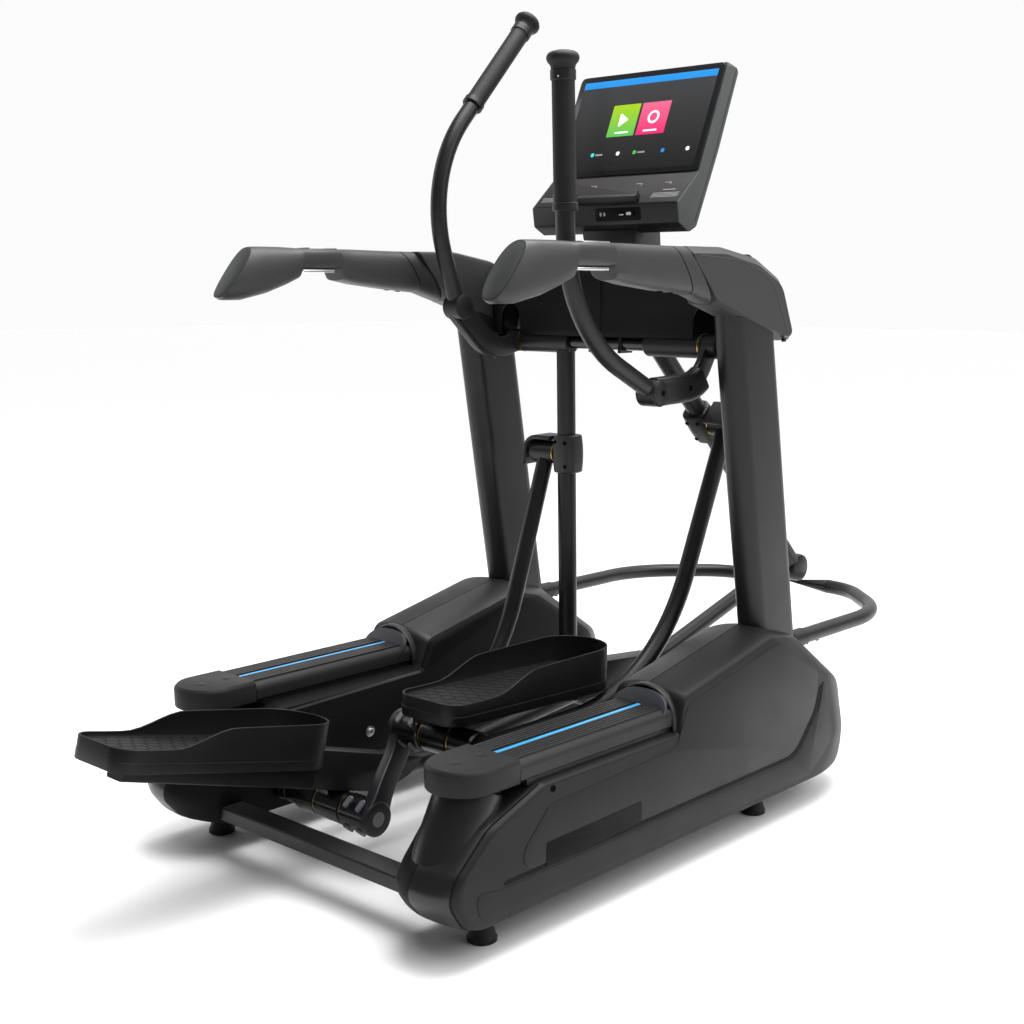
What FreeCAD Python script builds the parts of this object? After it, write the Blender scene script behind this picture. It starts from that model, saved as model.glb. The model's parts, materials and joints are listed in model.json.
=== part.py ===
"""Elliptical trainer with side pods, a centre crank and coupled handlebars.

Millimetres, +Z up, +X to the user's right, +Y forward to the console.
Heights are above the floor. Y values in this file are measured forward from the rear feet,
and every node is shifted at the end so that the origin is the middle of the footprint.
"""
import FreeCAD, Part
import math
import os

# Linkage
CRANK_Y = 126.0
CRANK_Z = 180.0
CRANK_RADIUS = 92.6
CRANK_START = 50.3          # direction of the right crank pin above forward, degrees
PIVOT_Y = 779.0
PIVOT_Z = 972.0
ROCKER_RADIUS = 248.0       # top pivot to the connecting rod's joint
ROD_LENGTH = 945.0
KNUCKLE_RADIUS = 787.0      # top pivot to the foot link's joint
BEAM_SIZE = 46.0
BEAM_DROP = 221.7           # knuckle above the beam's centre line
ROLLER_RADIUS = 32.0
ROLLER_GAP = 0.3
BEAM_RISE = BEAM_SIZE / 2 + ROLLER_RADIUS + ROLLER_GAP
BEAM_TAIL = 1190.0          # knuckle's foot on the beam to the beam's rear end
FIT = 0.05                  # radial clearance of a running fit

# Lateral stations, measured out from the middle plane
BEAM_X = 82.5
TRAY_X = 115.0
SWING_X = 125.0
ROD_X = 183.0
HANDLE_X = 265.0
COLUMN_X = 355.0
POD_INNER = 254.0
POD_SPLIT = 345.0
POD_OUTER = 435.0

# Diameters and walls
PIN_RADIUS = 20.0
LINK_TUBE_RADIUS = 18.0
SWING_TUBE_RADIUS = 20.5
ROD_TUBE_RADIUS = 18.5
HANDLE_TUBE_RADIUS = 17.5
HANDLE_GRIP_RADIUS = 20.5
AXLE_RADIUS = 15.0
SHELL = 3.0
GAP = 0.5

# Step and columns
STEP_TOP = 319.0
STEP_BOTTOM = 277.0
STEP_REAR = 40.0
STEP_FRONT = 463.0
COLUMN_FRONT_Y = 908.0      # column's front edge at COLUMN_REF_Z
COLUMN_REF_Z = 582.0
COLUMN_LEAN = 9.7           # degrees backwards going up
COLUMN_DEPTH = 150.0
COLUMN_WIDTH = 64.0

# Front hoop
HOOP_X = 360.0
HOOP_Z = 347.0
HOOP_FRONT = 1500.0
HOOP_RADIUS = 17.0
HOOP_SLEEVE_RADIUS = 20.0

# Drive train
PULLEY_RADIUS = 88.0
SMALL_PULLEY_RADIUS = 22.0
BELT = 2.5
BELT_X = (300.0, 322.0)
FLYWHEEL_Y = 600.0
FLYWHEEL_Z = 212.0
FLYWHEEL_RADIUS = 90.0
FLYWHEEL_X = (330.0, 350.0)

SIDES = {"right": 1, "left": -1}


# ---------------------------------------------------------------- shape helpers
def vec(x, y, z):
    return FreeCAD.Vector(x, y, z)


def side_wire(points, x):
    """Closed outline in the plane at x, from (y, z) points."""
    corners = [vec(x, y, z) for y, z in points]
    return Part.makePolygon(corners + corners[:1])


def prism(points, x_low, x_high):
    """Outline of (y, z) points made solid from x_low to x_high."""
    return Part.Face(side_wire(points, x_low)).extrude(vec(x_high - x_low, 0, 0))


def plan_prism(points, z_low, z_high):
    """Outline of (x, y) points made solid from z_low to z_high."""
    corners = [vec(x, y, z_low) for x, y in points]
    face = Part.Face(Part.makePolygon(corners + corners[:1]))
    return face.extrude(vec(0, 0, z_high - z_low))


def block(x, y, z):
    """Box between the low and high values in x, y and z."""
    size = (x[1] - x[0], y[1] - y[0], z[1] - z[0])
    return Part.makeBox(*size, vec(x[0], y[0], z[0]))


def rod_x(y, z, radius, x_low, x_high):
    return Part.makeCylinder(radius, x_high - x_low, vec(x_low, y, z), vec(1, 0, 0))


def ring_x(y, z, outer, inner, x_low, x_high):
    return rod_x(y, z, outer, x_low, x_high).cut(rod_x(y, z, inner, x_low - 1, x_high + 1))


def rod(start, end, radius):
    run = vec(*end) - vec(*start)
    return Part.makeCylinder(radius, run.Length, vec(*start), run)


def cone(start, end, radius_start, radius_end):
    run = vec(*end) - vec(*start)
    return Part.makeCone(radius_start, radius_end, run.Length, vec(*start), run)


def fused(first, *others):
    solid = first.multiFuse(list(others)) if others else first
    return solid.removeSplitter()


def group(solids):
    return Part.makeCompound(list(solids))


def mirrored(shape):
    return shape.mirror(vec(0, 0, 0), vec(1, 0, 0))


def pair(shape):
    """The shape and its mirror image across the middle plane."""
    return group([shape, mirrored(shape)])


def soften(shape, radius, chosen):
    """Round the edges that chosen(edge) accepts."""
    edges = [edge for edge in shape.Edges if chosen(edge)]
    return shape.makeFillet(radius, edges)


def along_x(edge):
    ends = edge.Vertexes
    return len(ends) == 2 and abs(ends[0].X - ends[1].X) > edge.Length - 0.01


def upright(edge):
    ends = edge.Vertexes
    return len(ends) == 2 and abs(ends[0].Z - ends[1].Z) > edge.Length - 0.01


def bent_wire(points, bends):
    """Straight runs through the points, joined by arcs of the given radii."""
    corners = [vec(*point) for point in points]
    edges = []
    start = corners[0]
    for index, bend in enumerate(bends, 1):
        corner = corners[index]
        back = (corners[index - 1] - corner).normalize()
        ahead = (corners[index + 1] - corner).normalize()
        half_turn = (math.pi - back.getAngle(ahead)) / 2
        reach = bend * math.tan(half_turn)
        middle = (back + ahead).normalize()
        to_arc = bend / math.cos(half_turn) - bend
        arc_start = corner + back * reach
        arc_end = corner + ahead * reach
        edges.append(Part.makeLine(start, arc_start))
        edges.append(Part.Arc(arc_start, corner + middle * to_arc, arc_end).toShape())
        start = arc_end
    edges.append(Part.makeLine(start, corners[-1]))
    return Part.Wire(edges)


def bent_tube(points, bends, radius):
    path = bent_wire(points, bends)
    first = vec(*points[1]) - vec(*points[0])
    circle = Part.Wire(Part.makeCircle(radius, vec(*points[0]), first))
    return path.makePipeShell([circle], True, False)


def tilt(shape, y, z, degrees):
    """Turn the shape about the +X line through (y, z)."""
    turned = shape.copy()
    turned.rotate(vec(0, y, z), vec(1, 0, 0), degrees)
    return turned


def place(shape, y, z, degrees):
    """Carry a shape from its own frame to (y, z), turned about +X."""
    placed = tilt(shape, 0, 0, degrees)
    placed.translate(vec(0, y, z))
    return placed


# ---------------------------------------------------------------- linkage positions
def linkage(pin_direction):
    """Where one side's linkage stands for a crank pin direction in degrees."""
    angle = math.radians(pin_direction)
    pin = (CRANK_Y + CRANK_RADIUS * math.cos(angle), CRANK_Z + CRANK_RADIUS * math.sin(angle))
    span = math.hypot(pin[0] - PIVOT_Y, pin[1] - PIVOT_Z)
    to_pin = math.atan2(pin[1] - PIVOT_Z, pin[0] - PIVOT_Y)
    opening = math.acos((ROCKER_RADIUS**2 + span**2 - ROD_LENGTH**2) / (2 * ROCKER_RADIUS * span))
    swing = to_pin + opening
    joint = (PIVOT_Y + ROCKER_RADIUS * math.cos(swing), PIVOT_Z + ROCKER_RADIUS * math.sin(swing))
    knuckle = (PIVOT_Y + KNUCKLE_RADIUS * math.cos(swing), PIVOT_Z + KNUCKLE_RADIUS * math.sin(swing))
    link_span = math.hypot(knuckle[0] - pin[0], knuckle[1] - pin[1])
    dip = math.asin((BEAM_DROP + BEAM_RISE) / link_span)
    beam = math.atan2(knuckle[1] - pin[1], knuckle[0] - pin[0]) - dip
    return {
        "pin": pin,
        "joint": joint,
        "knuckle": knuckle,
        "swing": math.degrees(swing) + 90,
        "rod": math.degrees(math.atan2(joint[1] - pin[1], joint[0] - pin[0])),
        "beam": math.degrees(beam),
        "reach": link_span * math.cos(dip),
    }


STATES = {"right": linkage(CRANK_START), "left": linkage(CRANK_START + 180)}


# ---------------------------------------------------------------- base
def base_frame():
    rail = block((330, 380), (-20, 900), (62, 110)).cut(block((333, 377), (-21, 901), (65, 107)))
    seat = block((330, 380), (-20, 20), (62, 66))
    crossbar = block((-330, 330), (-79, -27), (72, 100))
    hollow = block((-331, 331), (-76, -30), (75, 97))
    stub = block((330, 380), (-79, -20), (70, 100))
    bar = crossbar.cut(hollow)
    return fused(bar, rail, mirrored(rail), stub, mirrored(stub), seat, mirrored(seat))


def levelling_feet():
    feet = []
    for y, x in ((0.0, 366.0), (824.0, 361.0)):
        pad = cone((x, y, 0), (x, y, 9), 26.5, 24)
        neck = cone((x, y, 9), (x, y, 40), 24, 16)
        stud = rod((x, y, 40), (x, y, 62), 6)
        feet.append(fused(pad, neck, stud))
    return pair(group(feet))


# ---------------------------------------------------------------- side pods
# Outlines of the pod in side view, from the top rear corner round to the cowl.
POD_FACE = [(81, 275), (-49, 224), (-118, 158), (-118, 120), (-91, 66), (-60, 57), (930, 57),
            (1008, 105), (1031, 142), (993, 275), (794, 398), (762, 398), (477, 335), (463, 275)]
POD_FACE_IN = [(60, 275), (-10, 212), (-68, 140), (-88, 110), (-75, 66), (-55, 57), (930, 57),
               (1008, 105), (1031, 142), (993, 262), (794, 374), (762, 376), (500, 318), (463, 275)]
POD_MIDDLE = [(81, 275), (-49, 232), (-138, 158), (-158, 120), (-111, 66), (-70, 57), (1130, 57),
              (1168, 90), (1171, 130), (1130, 233), (921, 372), (783, 413), (470, 346), (463, 275)]


def face_outline(face_x):
    return POD_FACE if face_x > POD_SPLIT else POD_FACE_IN


def inset(points, x, distance):
    """The outline drawn in by a distance, at another x."""
    return side_wire(points, x).makeOffset2D(-distance, 2)


def pod_blank(face_x):
    """Half a pod as one solid, from the split to a side face."""
    split_x = POD_SPLIT + math.copysign(GAP / 2, face_x - POD_SPLIT)
    wires = [side_wire(POD_MIDDLE, split_x), side_wire(face_outline(face_x), face_x)]
    return Part.makeLoft(wires, True, True)


def pod_half(face_x):
    """Half a pod as a tray: a side wall with its rim, open towards the split."""
    step = math.copysign(SHELL, face_x - POD_SPLIT)
    rims = [inset(POD_MIDDLE, POD_SPLIT - step, SHELL), inset(face_outline(face_x), face_x - step, SHELL)]
    return pod_blank(face_x).cut(Part.makeLoft(rims, True, True))


def hoop_room():
    return rod((HOOP_X, 900, HOOP_Z), (HOOP_X, 1060, HOOP_Z), HOOP_SLEEVE_RADIUS + GAP)


def column_slot():
    """Clearance for the column where it leaves the pod."""
    return column_solid(COLUMN_DEPTH + 2 * GAP, COLUMN_WIDTH + 2 * GAP, 100, 520)


def foot_slots():
    slots = [rod((x, y, 50), (x, y, 66), 22) for y, x in ((0.0, 366.0), (824.0, 361.0))]
    return group(slots)


def crossbar_room():
    """Opening for the crossbar and its stub where they enter the pod."""
    return block((POD_INNER - 1, 381), (-80, -23), (59.5, 101))


def outer_cover():
    shell = pod_half(POD_OUTER).cut(column_slot()).cut(foot_slots())
    return shell.cut(hoop_room()).cut(cowl_insert()).cut(crossbar_room())


def inner_cover():
    shell = pod_half(POD_INNER).cut(hoop_room()).cut(cowl_insert())
    shaft_hole = rod_x(CRANK_Y, CRANK_Z, 22, POD_INNER - 1, POD_INNER + 20)
    return shell.cut(column_slot()).cut(foot_slots()).cut(shaft_hole).cut(crossbar_room())


def rear_post():
    """Leaning post that carries the end cap and sinks into the pod's rear."""
    top = rod((353, -20, STEP_BOTTOM - 1), (353, -20, STEP_BOTTOM - 3), 58)
    leg = cone((353, -20, STEP_BOTTOM - 3), (350, -62, 185), 57, 66)
    post = fused(top, leg)
    post = post.cut(block((200, 500), (-200, 200), (STEP_BOTTOM - GAP, 400)))
    for face_x in (POD_OUTER, POD_INNER):
        post = post.cut(pod_blank(face_x))
    return post.Solids[0]


def step_tread():
    deck = block((290, 420), (STEP_REAR, STEP_FRONT), (STEP_BOTTOM, STEP_TOP - 2))
    ribs = []
    for side in (-1, 1):
        for number in range(5):
            middle = COLUMN_X + side * (18 + number * 10)
            across = (middle - 2.5, middle + 2.5)
            ribs.append(block(across, (STEP_REAR, STEP_FRONT), (STEP_TOP - 2.5, STEP_TOP)))
    groove = block((349, 361), (STEP_REAR - 1, STEP_FRONT + 1), (STEP_TOP - 5, STEP_TOP + 1))
    return fused(deck, *ribs).cut(groove)


def light_strip():
    return block((349.2, 360.8), (STEP_REAR, STEP_FRONT), (STEP_TOP - 5, STEP_TOP - 1.5))


def end_cap():
    """D-shaped cap behind the step, with a chamfered rim."""
    plate = rod((355, 34, STEP_BOTTOM), (355, 34, STEP_TOP + 2), 66)
    plate = plate.common(block((280, 430), (-40, STEP_REAR - GAP), (0, 400)))
    rear = rod((355, -36, STEP_BOTTOM), (355, -36, STEP_TOP + 2), 66)
    bridge = block((289, 421), (-36, STEP_REAR - GAP), (STEP_BOTTOM, STEP_TOP + 2))
    cap = fused(plate, rear, bridge)
    top = [edge for edge in cap.Edges if edge.BoundBox.ZMin > STEP_TOP]
    return cap.makeChamfer(3, top)


def cowl_insert():
    """Half-moon plate that closes the cowl's mouth above the step."""
    disc = rod((355, STEP_FRONT - 3, 290), (355, STEP_FRONT + 6, 290), 62)
    return disc.common(block((280, 430), (440, 480), (STEP_TOP + 0.5, 360)))


# ---------------------------------------------------------------- columns and top
def column_solid(depth, width, z_low, z_high):
    """Flat-oval bar on the column's leaning line, cut level at both ends."""
    straight = depth / 2 - width / 2
    centre_y = COLUMN_FRONT_Y - COLUMN_DEPTH / 2 / math.cos(math.radians(COLUMN_LEAN))
    reach = 900
    core = block((COLUMN_X - width / 2, COLUMN_X + width / 2), (-straight, straight), (-reach, reach))
    ends = [rod((COLUMN_X, y, -reach), (COLUMN_X, y, reach), width / 2) for y in (-straight, straight)]
    bar = place(fused(core, *ends), centre_y, COLUMN_REF_Z, COLUMN_LEAN)
    return bar.common(block((300, 420), (0, 1500), (z_low, z_high)))


def column():
    outer = column_solid(COLUMN_DEPTH, COLUMN_WIDTH, 111, 1150)
    inner = column_solid(COLUMN_DEPTH - 8, COLUMN_WIDTH - 8, 110, 1151)
    return outer.cut(inner)


def top_beam():
    """Box beam between the columns, with the plates that hold the pivot axle."""
    beam = block((-322, 322), (770, 850), (1070, 1130)).cut(block((-323, 323), (774, 846), (1074, 1126)))
    plates = []
    for x in (-302, -40, 40, 302):
        outline = [(760, 952), (800, 952), (826, 1070), (770, 1070)]
        plate = prism(outline, x - 4, x + 4)
        plates.append(plate.cut(rod_x(PIVOT_Y, PIVOT_Z, AXLE_RADIUS, x - 5, x + 5)))
    return fused(beam, *plates)


def top_axle():
    return rod_x(PIVOT_Y, PIVOT_Z, AXLE_RADIUS, -318, 318)


def crossbeam_housing():
    outline = [(745, 976), (745, 1120), (760, 1150), (800, 1162), (870, 1162), (890, 1150), (890, 976)]
    inside = [(748, 970), (748, 1119), (762, 1147), (801, 1159), (869, 1159), (887, 1148), (887, 970)]
    shell = prism(outline, -320, 320).cut(prism(inside, -321, 321))
    for side in (-1, 1):
        x = side * HANDLE_X
        arch = block((x - 30, x + 30), (740, 760), (970, 1020))
        crown = rod((x, 740, 1020), (x, 760, 1020), 30)
        shell = shell.cut(arch).cut(crown)
    return shell


def front_hoop():
    """Rounded bumper tube held in a sleeve on the front of each column."""
    plan = [(HOOP_X, 948), (HOOP_X, 1330), (185, HOOP_FRONT)]
    path = [(x, y, HOOP_Z) for x, y in plan] + [(-x, y, HOOP_Z) for x, y in reversed(plan)]
    hoop = bent_tube(path, [240, 150, 150, 240], HOOP_RADIUS)
    sleeves = [rod((x, 944, HOOP_Z), (x, 1003, HOOP_Z), HOOP_SLEEVE_RADIUS) for x in (-HOOP_X, HOOP_X)]
    column_room = column_solid(COLUMN_DEPTH + GAP, COLUMN_WIDTH + GAP, 200, 500)
    return fused(hoop, *sleeves).cut(column_room).cut(mirrored(column_room))


def hoop_bolts():
    """Set screws in the undersides of the hoop's sleeves."""
    low = HOOP_Z - HOOP_SLEEVE_RADIUS
    bolts = [rod((HOOP_X, y, low - 3), (HOOP_X, y, low + 0.5), 4) for y in (985, 996)]
    return pair(group(bolts).cut(rod((HOOP_X, 944, HOOP_Z), (HOOP_X, 1003, HOOP_Z), HOOP_SLEEVE_RADIUS)))


# ---------------------------------------------------------------- handrails and shoulders
RAIL_OUTLINE = [(21, 1069), (98, 1170), (488, 1167), (545, 1078), (450, 1086), (342, 1101), (331, 1124),
                (231, 1124), (222, 1110), (185, 1095), (130, 1078), (72, 1066), (34, 1064)]
SHOULDER_OUTLINE = [(489, 1167), (546, 1078), (610, 1059), (850, 985), (896, 985), (851, 1104),
                    (760, 1145), (620, 1167)]


def handrail():
    return prism(RAIL_OUTLINE, 326, 392)


def pulse_contacts():
    upper = block((334, 384), (236, 330), (1169.2, 1170.4))
    lower = block((334, 384), (236, 326), (1120, 1123.8))
    return pair(group([upper, lower]))


def shoulder_cover():
    shell = prism(SHOULDER_OUTLINE, 322, 392)
    return shell.cut(column_solid(COLUMN_DEPTH + 1, COLUMN_WIDTH + 1, 900, 1152))


# ---------------------------------------------------------------- console
CONSOLE_HALF = 197.0
CONSOLE_OUTLINE = [(916, 1553), (953, 1537), (884, 1368), (812, 1212), (788, 1201), (753, 1219),
                   (747, 1260), (818, 1323)]


def console_shell():
    return prism(CONSOLE_OUTLINE, -CONSOLE_HALF, CONSOLE_HALF)


def face_panel(face, low, high, half, lift, thickness):
    """Flat panel on a slanted face, between two distances up from the face's lower end."""
    start, end = face
    run = vec(0, end[0] - start[0], end[1] - start[1]).normalize()
    out = vec(0, -run.z, run.y)
    corners = []
    for along, depth in ((low, lift), (high, lift), (high, lift + thickness), (low, lift + thickness)):
        corners.append((start[0] + run.y * along + out.y * depth, start[1] + run.z * along + out.z * depth))
    return prism(corners, -half, half)


SCREEN_FACE = (CONSOLE_OUTLINE[7], CONSOLE_OUTLINE[0])
KEYPAD_FACE = (CONSOLE_OUTLINE[6], CONSOLE_OUTLINE[7])


def console_fascia():
    return face_panel(SCREEN_FACE, 6, 246, CONSOLE_HALF - 3, 0.1, 3)


def display_screen():
    return face_panel(SCREEN_FACE, 14, 234, 181, 3.2, 1)


def keypad_overlay():
    return face_panel(KEYPAD_FACE, 3, 90, CONSOLE_HALF - 4, 0.1, 1)


def reading_ledge():
    return face_panel(KEYPAD_FACE, 4, 30, 95, 1.2, 18)


def port_panel():
    return block((-20, 95), (744, 746.8), (1224, 1256))


def console_neck():
    outline = [(772, 1140), (872, 1140), (872, 1225), (780, 1205)]
    neck = prism(outline, -66, 66)
    shell = prism(CONSOLE_OUTLINE, -CONSOLE_HALF - 1, CONSOLE_HALF + 1)
    housing = block((-67, 67), (740, 895), (1100, 1162.3))
    return neck.cut(shell).cut(housing)


def cover_screws():
    """Screws in the pods' outer faces and plugs on the end caps."""
    screws = [rod_x(105, 262, 5, POD_OUTER + 0.05, POD_OUTER + 0.6)]
    for y in (-48, 16):
        screws.append(rod((353, y, STEP_TOP + 2.1), (353, y, STEP_TOP + 3), 9))
    return pair(group(screws))


# ---------------------------------------------------------------- crank and drive
BARREL_RADIUS = 34.0
BARREL_INNER = -33.0
BARREL_OUTER = 45.0


def crank_pin_at(side):
    return STATES[side]["pin"]


def crank_web():
    """Casting that clamps both crank pins in split barrels joined by a curved web."""
    pieces = []
    for side, sign in SIDES.items():
        y, z = crank_pin_at(side)
        ends = sorted((sign * BARREL_INNER, sign * BARREL_OUTER))
        pieces.append(rod_x(y, z, BARREL_RADIUS, *ends))
    angle = math.radians(CRANK_START)
    along = (math.cos(angle), math.sin(angle))
    across = (-along[1], along[0])
    outline = []
    for run, width in ((-80, -24), (80, -24), (80, 24), (-80, 24)):
        outline.append((CRANK_Y + along[0] * run + across[0] * width,
                        CRANK_Z + along[1] * run + across[1] * width))
    web = fused(prism(outline, -22, 22), *pieces)
    for side in SIDES:
        y, z = crank_pin_at(side)
        web = web.cut(rod_x(y, z, PIN_RADIUS, -50, 50))
    return web


def crank_pins():
    pins = []
    for side, sign in SIDES.items():
        y, z = crank_pin_at(side)
        ends = sorted((sign * BARREL_INNER, sign * 250))
        pins.append(rod_x(y, z, PIN_RADIUS, *ends))
    return group(pins)


def crank_arms():
    """Outer arms beside the pods, with the stub shafts that run in the pods' bearings."""
    arms = []
    for side, sign in SIDES.items():
        y, z = crank_pin_at(side)
        near, far = sorted((sign * 238, sign * 250))
        centre = rod_x(CRANK_Y, CRANK_Z, 26, near, far)
        boss = rod_x(y, z, 26, near, far)
        length = CRANK_RADIUS
        dy, dz = (y - CRANK_Y) / length * 22, (z - CRANK_Z) / length * 22
        outline = [(CRANK_Y - dz, CRANK_Z + dy), (y - dz, z + dy), (y + dz, z - dy), (CRANK_Y + dz, CRANK_Z - dy)]
        bar = prism(outline, near, far)
        shaft = rod_x(CRANK_Y, CRANK_Z, 15, *sorted((sign * 238, sign * 328)))
        arm = fused(centre, boss, bar, shaft)
        arms.append(arm.cut(rod_x(y, z, PIN_RADIUS, near - 1, far + 1)))
    return group(arms)


def clamp_bolts():
    """Slotted clamp bolts, two rows of two on each barrel."""
    bolts = []
    for side, sign in SIDES.items():
        y, z = crank_pin_at(side)
        for x in (-12, 28):
            for lean in (-0.5, 0.5):
                direction = math.radians(CRANK_START + (0 if side == "right" else 180) + 90) + lean
                inner, outer = BARREL_RADIUS + 0.1, BARREL_RADIUS + 5
                start = (sign * x, y + inner * math.cos(direction), z + inner * math.sin(direction))
                end = (sign * x, y + outer * math.cos(direction), z + outer * math.sin(direction))
                bolts.append(rod(start, end, 7))
    return group(bolts)


def thrust_washers():
    washers = []
    for side, sign in SIDES.items():
        y, z = crank_pin_at(side)
        ends = sorted((sign * 121.3, sign * 124.3))
        washers.append(ring_x(y, z, 27, PIN_RADIUS, *ends))
    return group(washers)


def drive_pulley():
    rim = ring_x(CRANK_Y, CRANK_Z, PULLEY_RADIUS, PULLEY_RADIUS - 12, *BELT_X)
    web = ring_x(CRANK_Y, CRANK_Z, PULLEY_RADIUS - 11, 15, 308, 314)
    hub = ring_x(CRANK_Y, CRANK_Z, 26, 15, 300, 322)
    return fused(rim, web, hub)


def drive_belt():
    """Belt round both pulleys: the hull of two discs less the hull of two smaller ones."""
    return belt_hull(BELT + 0.3).cut(belt_hull(0.3))


def belt_hull(extra):
    big, small = PULLEY_RADIUS + extra, SMALL_PULLEY_RADIUS + extra
    dy, dz = FLYWHEEL_Y - CRANK_Y, FLYWHEEL_Z - CRANK_Z
    base = math.atan2(dz, dy)
    spread = math.acos((big - small) / math.hypot(dy, dz))
    corners = []
    for y, z, radius, turn in ((CRANK_Y, CRANK_Z, big, spread), (FLYWHEEL_Y, FLYWHEEL_Z, small, spread),
                               (FLYWHEEL_Y, FLYWHEEL_Z, small, -spread), (CRANK_Y, CRANK_Z, big, -spread)):
        corners.append((y + radius * math.cos(base + turn), z + radius * math.sin(base + turn)))
    middle = prism(corners, *BELT_X)
    ends = [rod_x(CRANK_Y, CRANK_Z, big, *BELT_X), rod_x(FLYWHEEL_Y, FLYWHEEL_Z, small, *BELT_X)]
    return fused(middle, *ends)


def flywheel():
    disc = rod_x(FLYWHEEL_Y, FLYWHEEL_Z, FLYWHEEL_RADIUS, *FLYWHEEL_X)
    shaft = rod_x(FLYWHEEL_Y, FLYWHEEL_Z, 8, 284, 372)
    pulley = rod_x(FLYWHEEL_Y, FLYWHEEL_Z, SMALL_PULLEY_RADIUS, *BELT_X)
    return fused(disc, shaft, pulley)


def main_bearings():
    """Pillow blocks for the stub shafts, standing on the base rails."""
    block_shape = fused(rod_x(CRANK_Y, CRANK_Z, 32, 268, 292), block((268, 292), (96, 156), (112, 180)))
    return pair(block_shape.cut(rod_x(CRANK_Y, CRANK_Z, 15 + FIT, 260, 300)))


def drive_brackets():
    """Shelves on the base rails for the main bearings, and the flywheel's two bearing plates."""
    deck = block((266, 296), (90, 162), (104, 112))
    wall = block((266, 272), (90, 162), (64, 112))
    foot = block((266, 330), (90, 162), (62, 70))
    shelf = fused(deck, wall, foot)
    plates = []
    for x in (288, 366):
        plate = block((x - 4, x + 4), (575, 625), (70 if x < 330 else 110.5, 240))
        plates.append(plate.cut(rod_x(FLYWHEEL_Y, FLYWHEEL_Z, 8 + FIT, x - 5, x + 5)))
    tie = block((284, 330), (575, 625), (70, 76))
    return group([shelf, mirrored(shelf), fused(plates[0], tie), plates[1]])


def brake_magnet():
    """Yoke that straddles the flywheel's rim."""
    yoke = block((320, 360), (680, 730), (170, 260))
    slot = block((328.5, 351.5), (670, 693), (160, 270))
    foot = block((335, 345), (700, 730), (110.5, 170))
    return fused(yoke.cut(slot).cut(rod_x(FLYWHEEL_Y, FLYWHEEL_Z, FLYWHEEL_RADIUS + 1.5, 300, 380)), foot)


# ---------------------------------------------------------------- linkage pieces, each in its own frame
def roller():
    """Sleeve on the crank pin; own frame at the pin's centre."""
    return ring_x(0, 0, ROLLER_RADIUS, PIN_RADIUS + FIT, 50, 121)


def rod_corner():
    """Where the rod's two straight runs would meet; the lower run lies along +Y."""
    upper_angle = math.radians(66)
    chord = math.radians(35.35)
    joint = (ROD_LENGTH * math.cos(chord), ROD_LENGTH * math.sin(chord))
    return joint, (joint[0] - joint[1] / math.tan(upper_angle), 0)


def connecting_rod():
    """J-shaped rod from the crank pin to the swing arm; own frame at the crank pin."""
    joint, corner = rod_corner()
    path = [(ROD_X, 0, 0), (ROD_X, corner[0], 0), (ROD_X, joint[0], joint[1])]
    tube = bent_tube(path, [400], ROD_TUBE_RADIUS)
    hub = rod_x(0, 0, 31, 125, 235)
    head = rod_x(joint[0], joint[1], 32, 150, 226)
    hood = rod_x(joint[0], joint[1], 40, 160, 214)
    rod_body = fused(tube, hub, head, hood)
    return rod_body.cut(rod_x(0, 0, PIN_RADIUS + FIT, 120, 240))


def beam_tube_points():
    """The round tube's line: level over the beam, then up to the knuckle."""
    height = 34.6
    rise = math.radians(21.3)
    bend_y = -(BEAM_DROP - height) / math.tan(rise)
    return [(BEAM_X, -760, height), (BEAM_X, bend_y, height), (BEAM_X, 0, BEAM_DROP)]


def foot_link():
    """Beam, sleeve bracket and round tube; own frame at the knuckle's foot on the beam's line."""
    half = BEAM_SIZE / 2
    beam = block((BEAM_X - half, BEAM_X + half), (-BEAM_TAIL, -620), (-half, half))
    beam = beam.cut(block((BEAM_X - half + 3, BEAM_X + half - 3), (-BEAM_TAIL - 1, -800), (-half + 3, half - 3)))
    nose = [(-776, -half), (-620, -half), (-560, -8), (-520, 14), (-500, 32), (-500, 54), (-776, 54)]
    bracket = prism(nose, BEAM_X - half, BEAM_X + half)
    tube = bent_tube(beam_tube_points(), [260], LINK_TUBE_RADIUS)
    eye = rod_x(0, BEAM_DROP, 33, 61, 104)
    return fused(beam, bracket, tube, eye)


TRAY_LENGTH = 484.0
TRAY_HALF = 80.0
TRAY_TILT = 3.3
TRAY_REAR = -BEAM_TAIL - 28
TRAY_LIFT = -BEAM_SIZE / 2 + 20
TRAY_WALL = 4.0
TRAY_FLOOR = BEAM_SIZE / 2 + 1


def tray_blank(half, rear, front, z_low, z_high, corner):
    """Foot-shaped block with rounded rear corners and a round front."""
    straight_front = front - half
    body = block((TRAY_X - half, TRAY_X + half), (rear, straight_front), (z_low, z_high))
    body = soften(body, corner, lambda edge: upright(edge) and edge.BoundBox.YMax < rear + 1)
    toe = rod((TRAY_X, straight_front, z_low), (TRAY_X, straight_front, z_high), half)
    return fused(body, toe)


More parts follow.
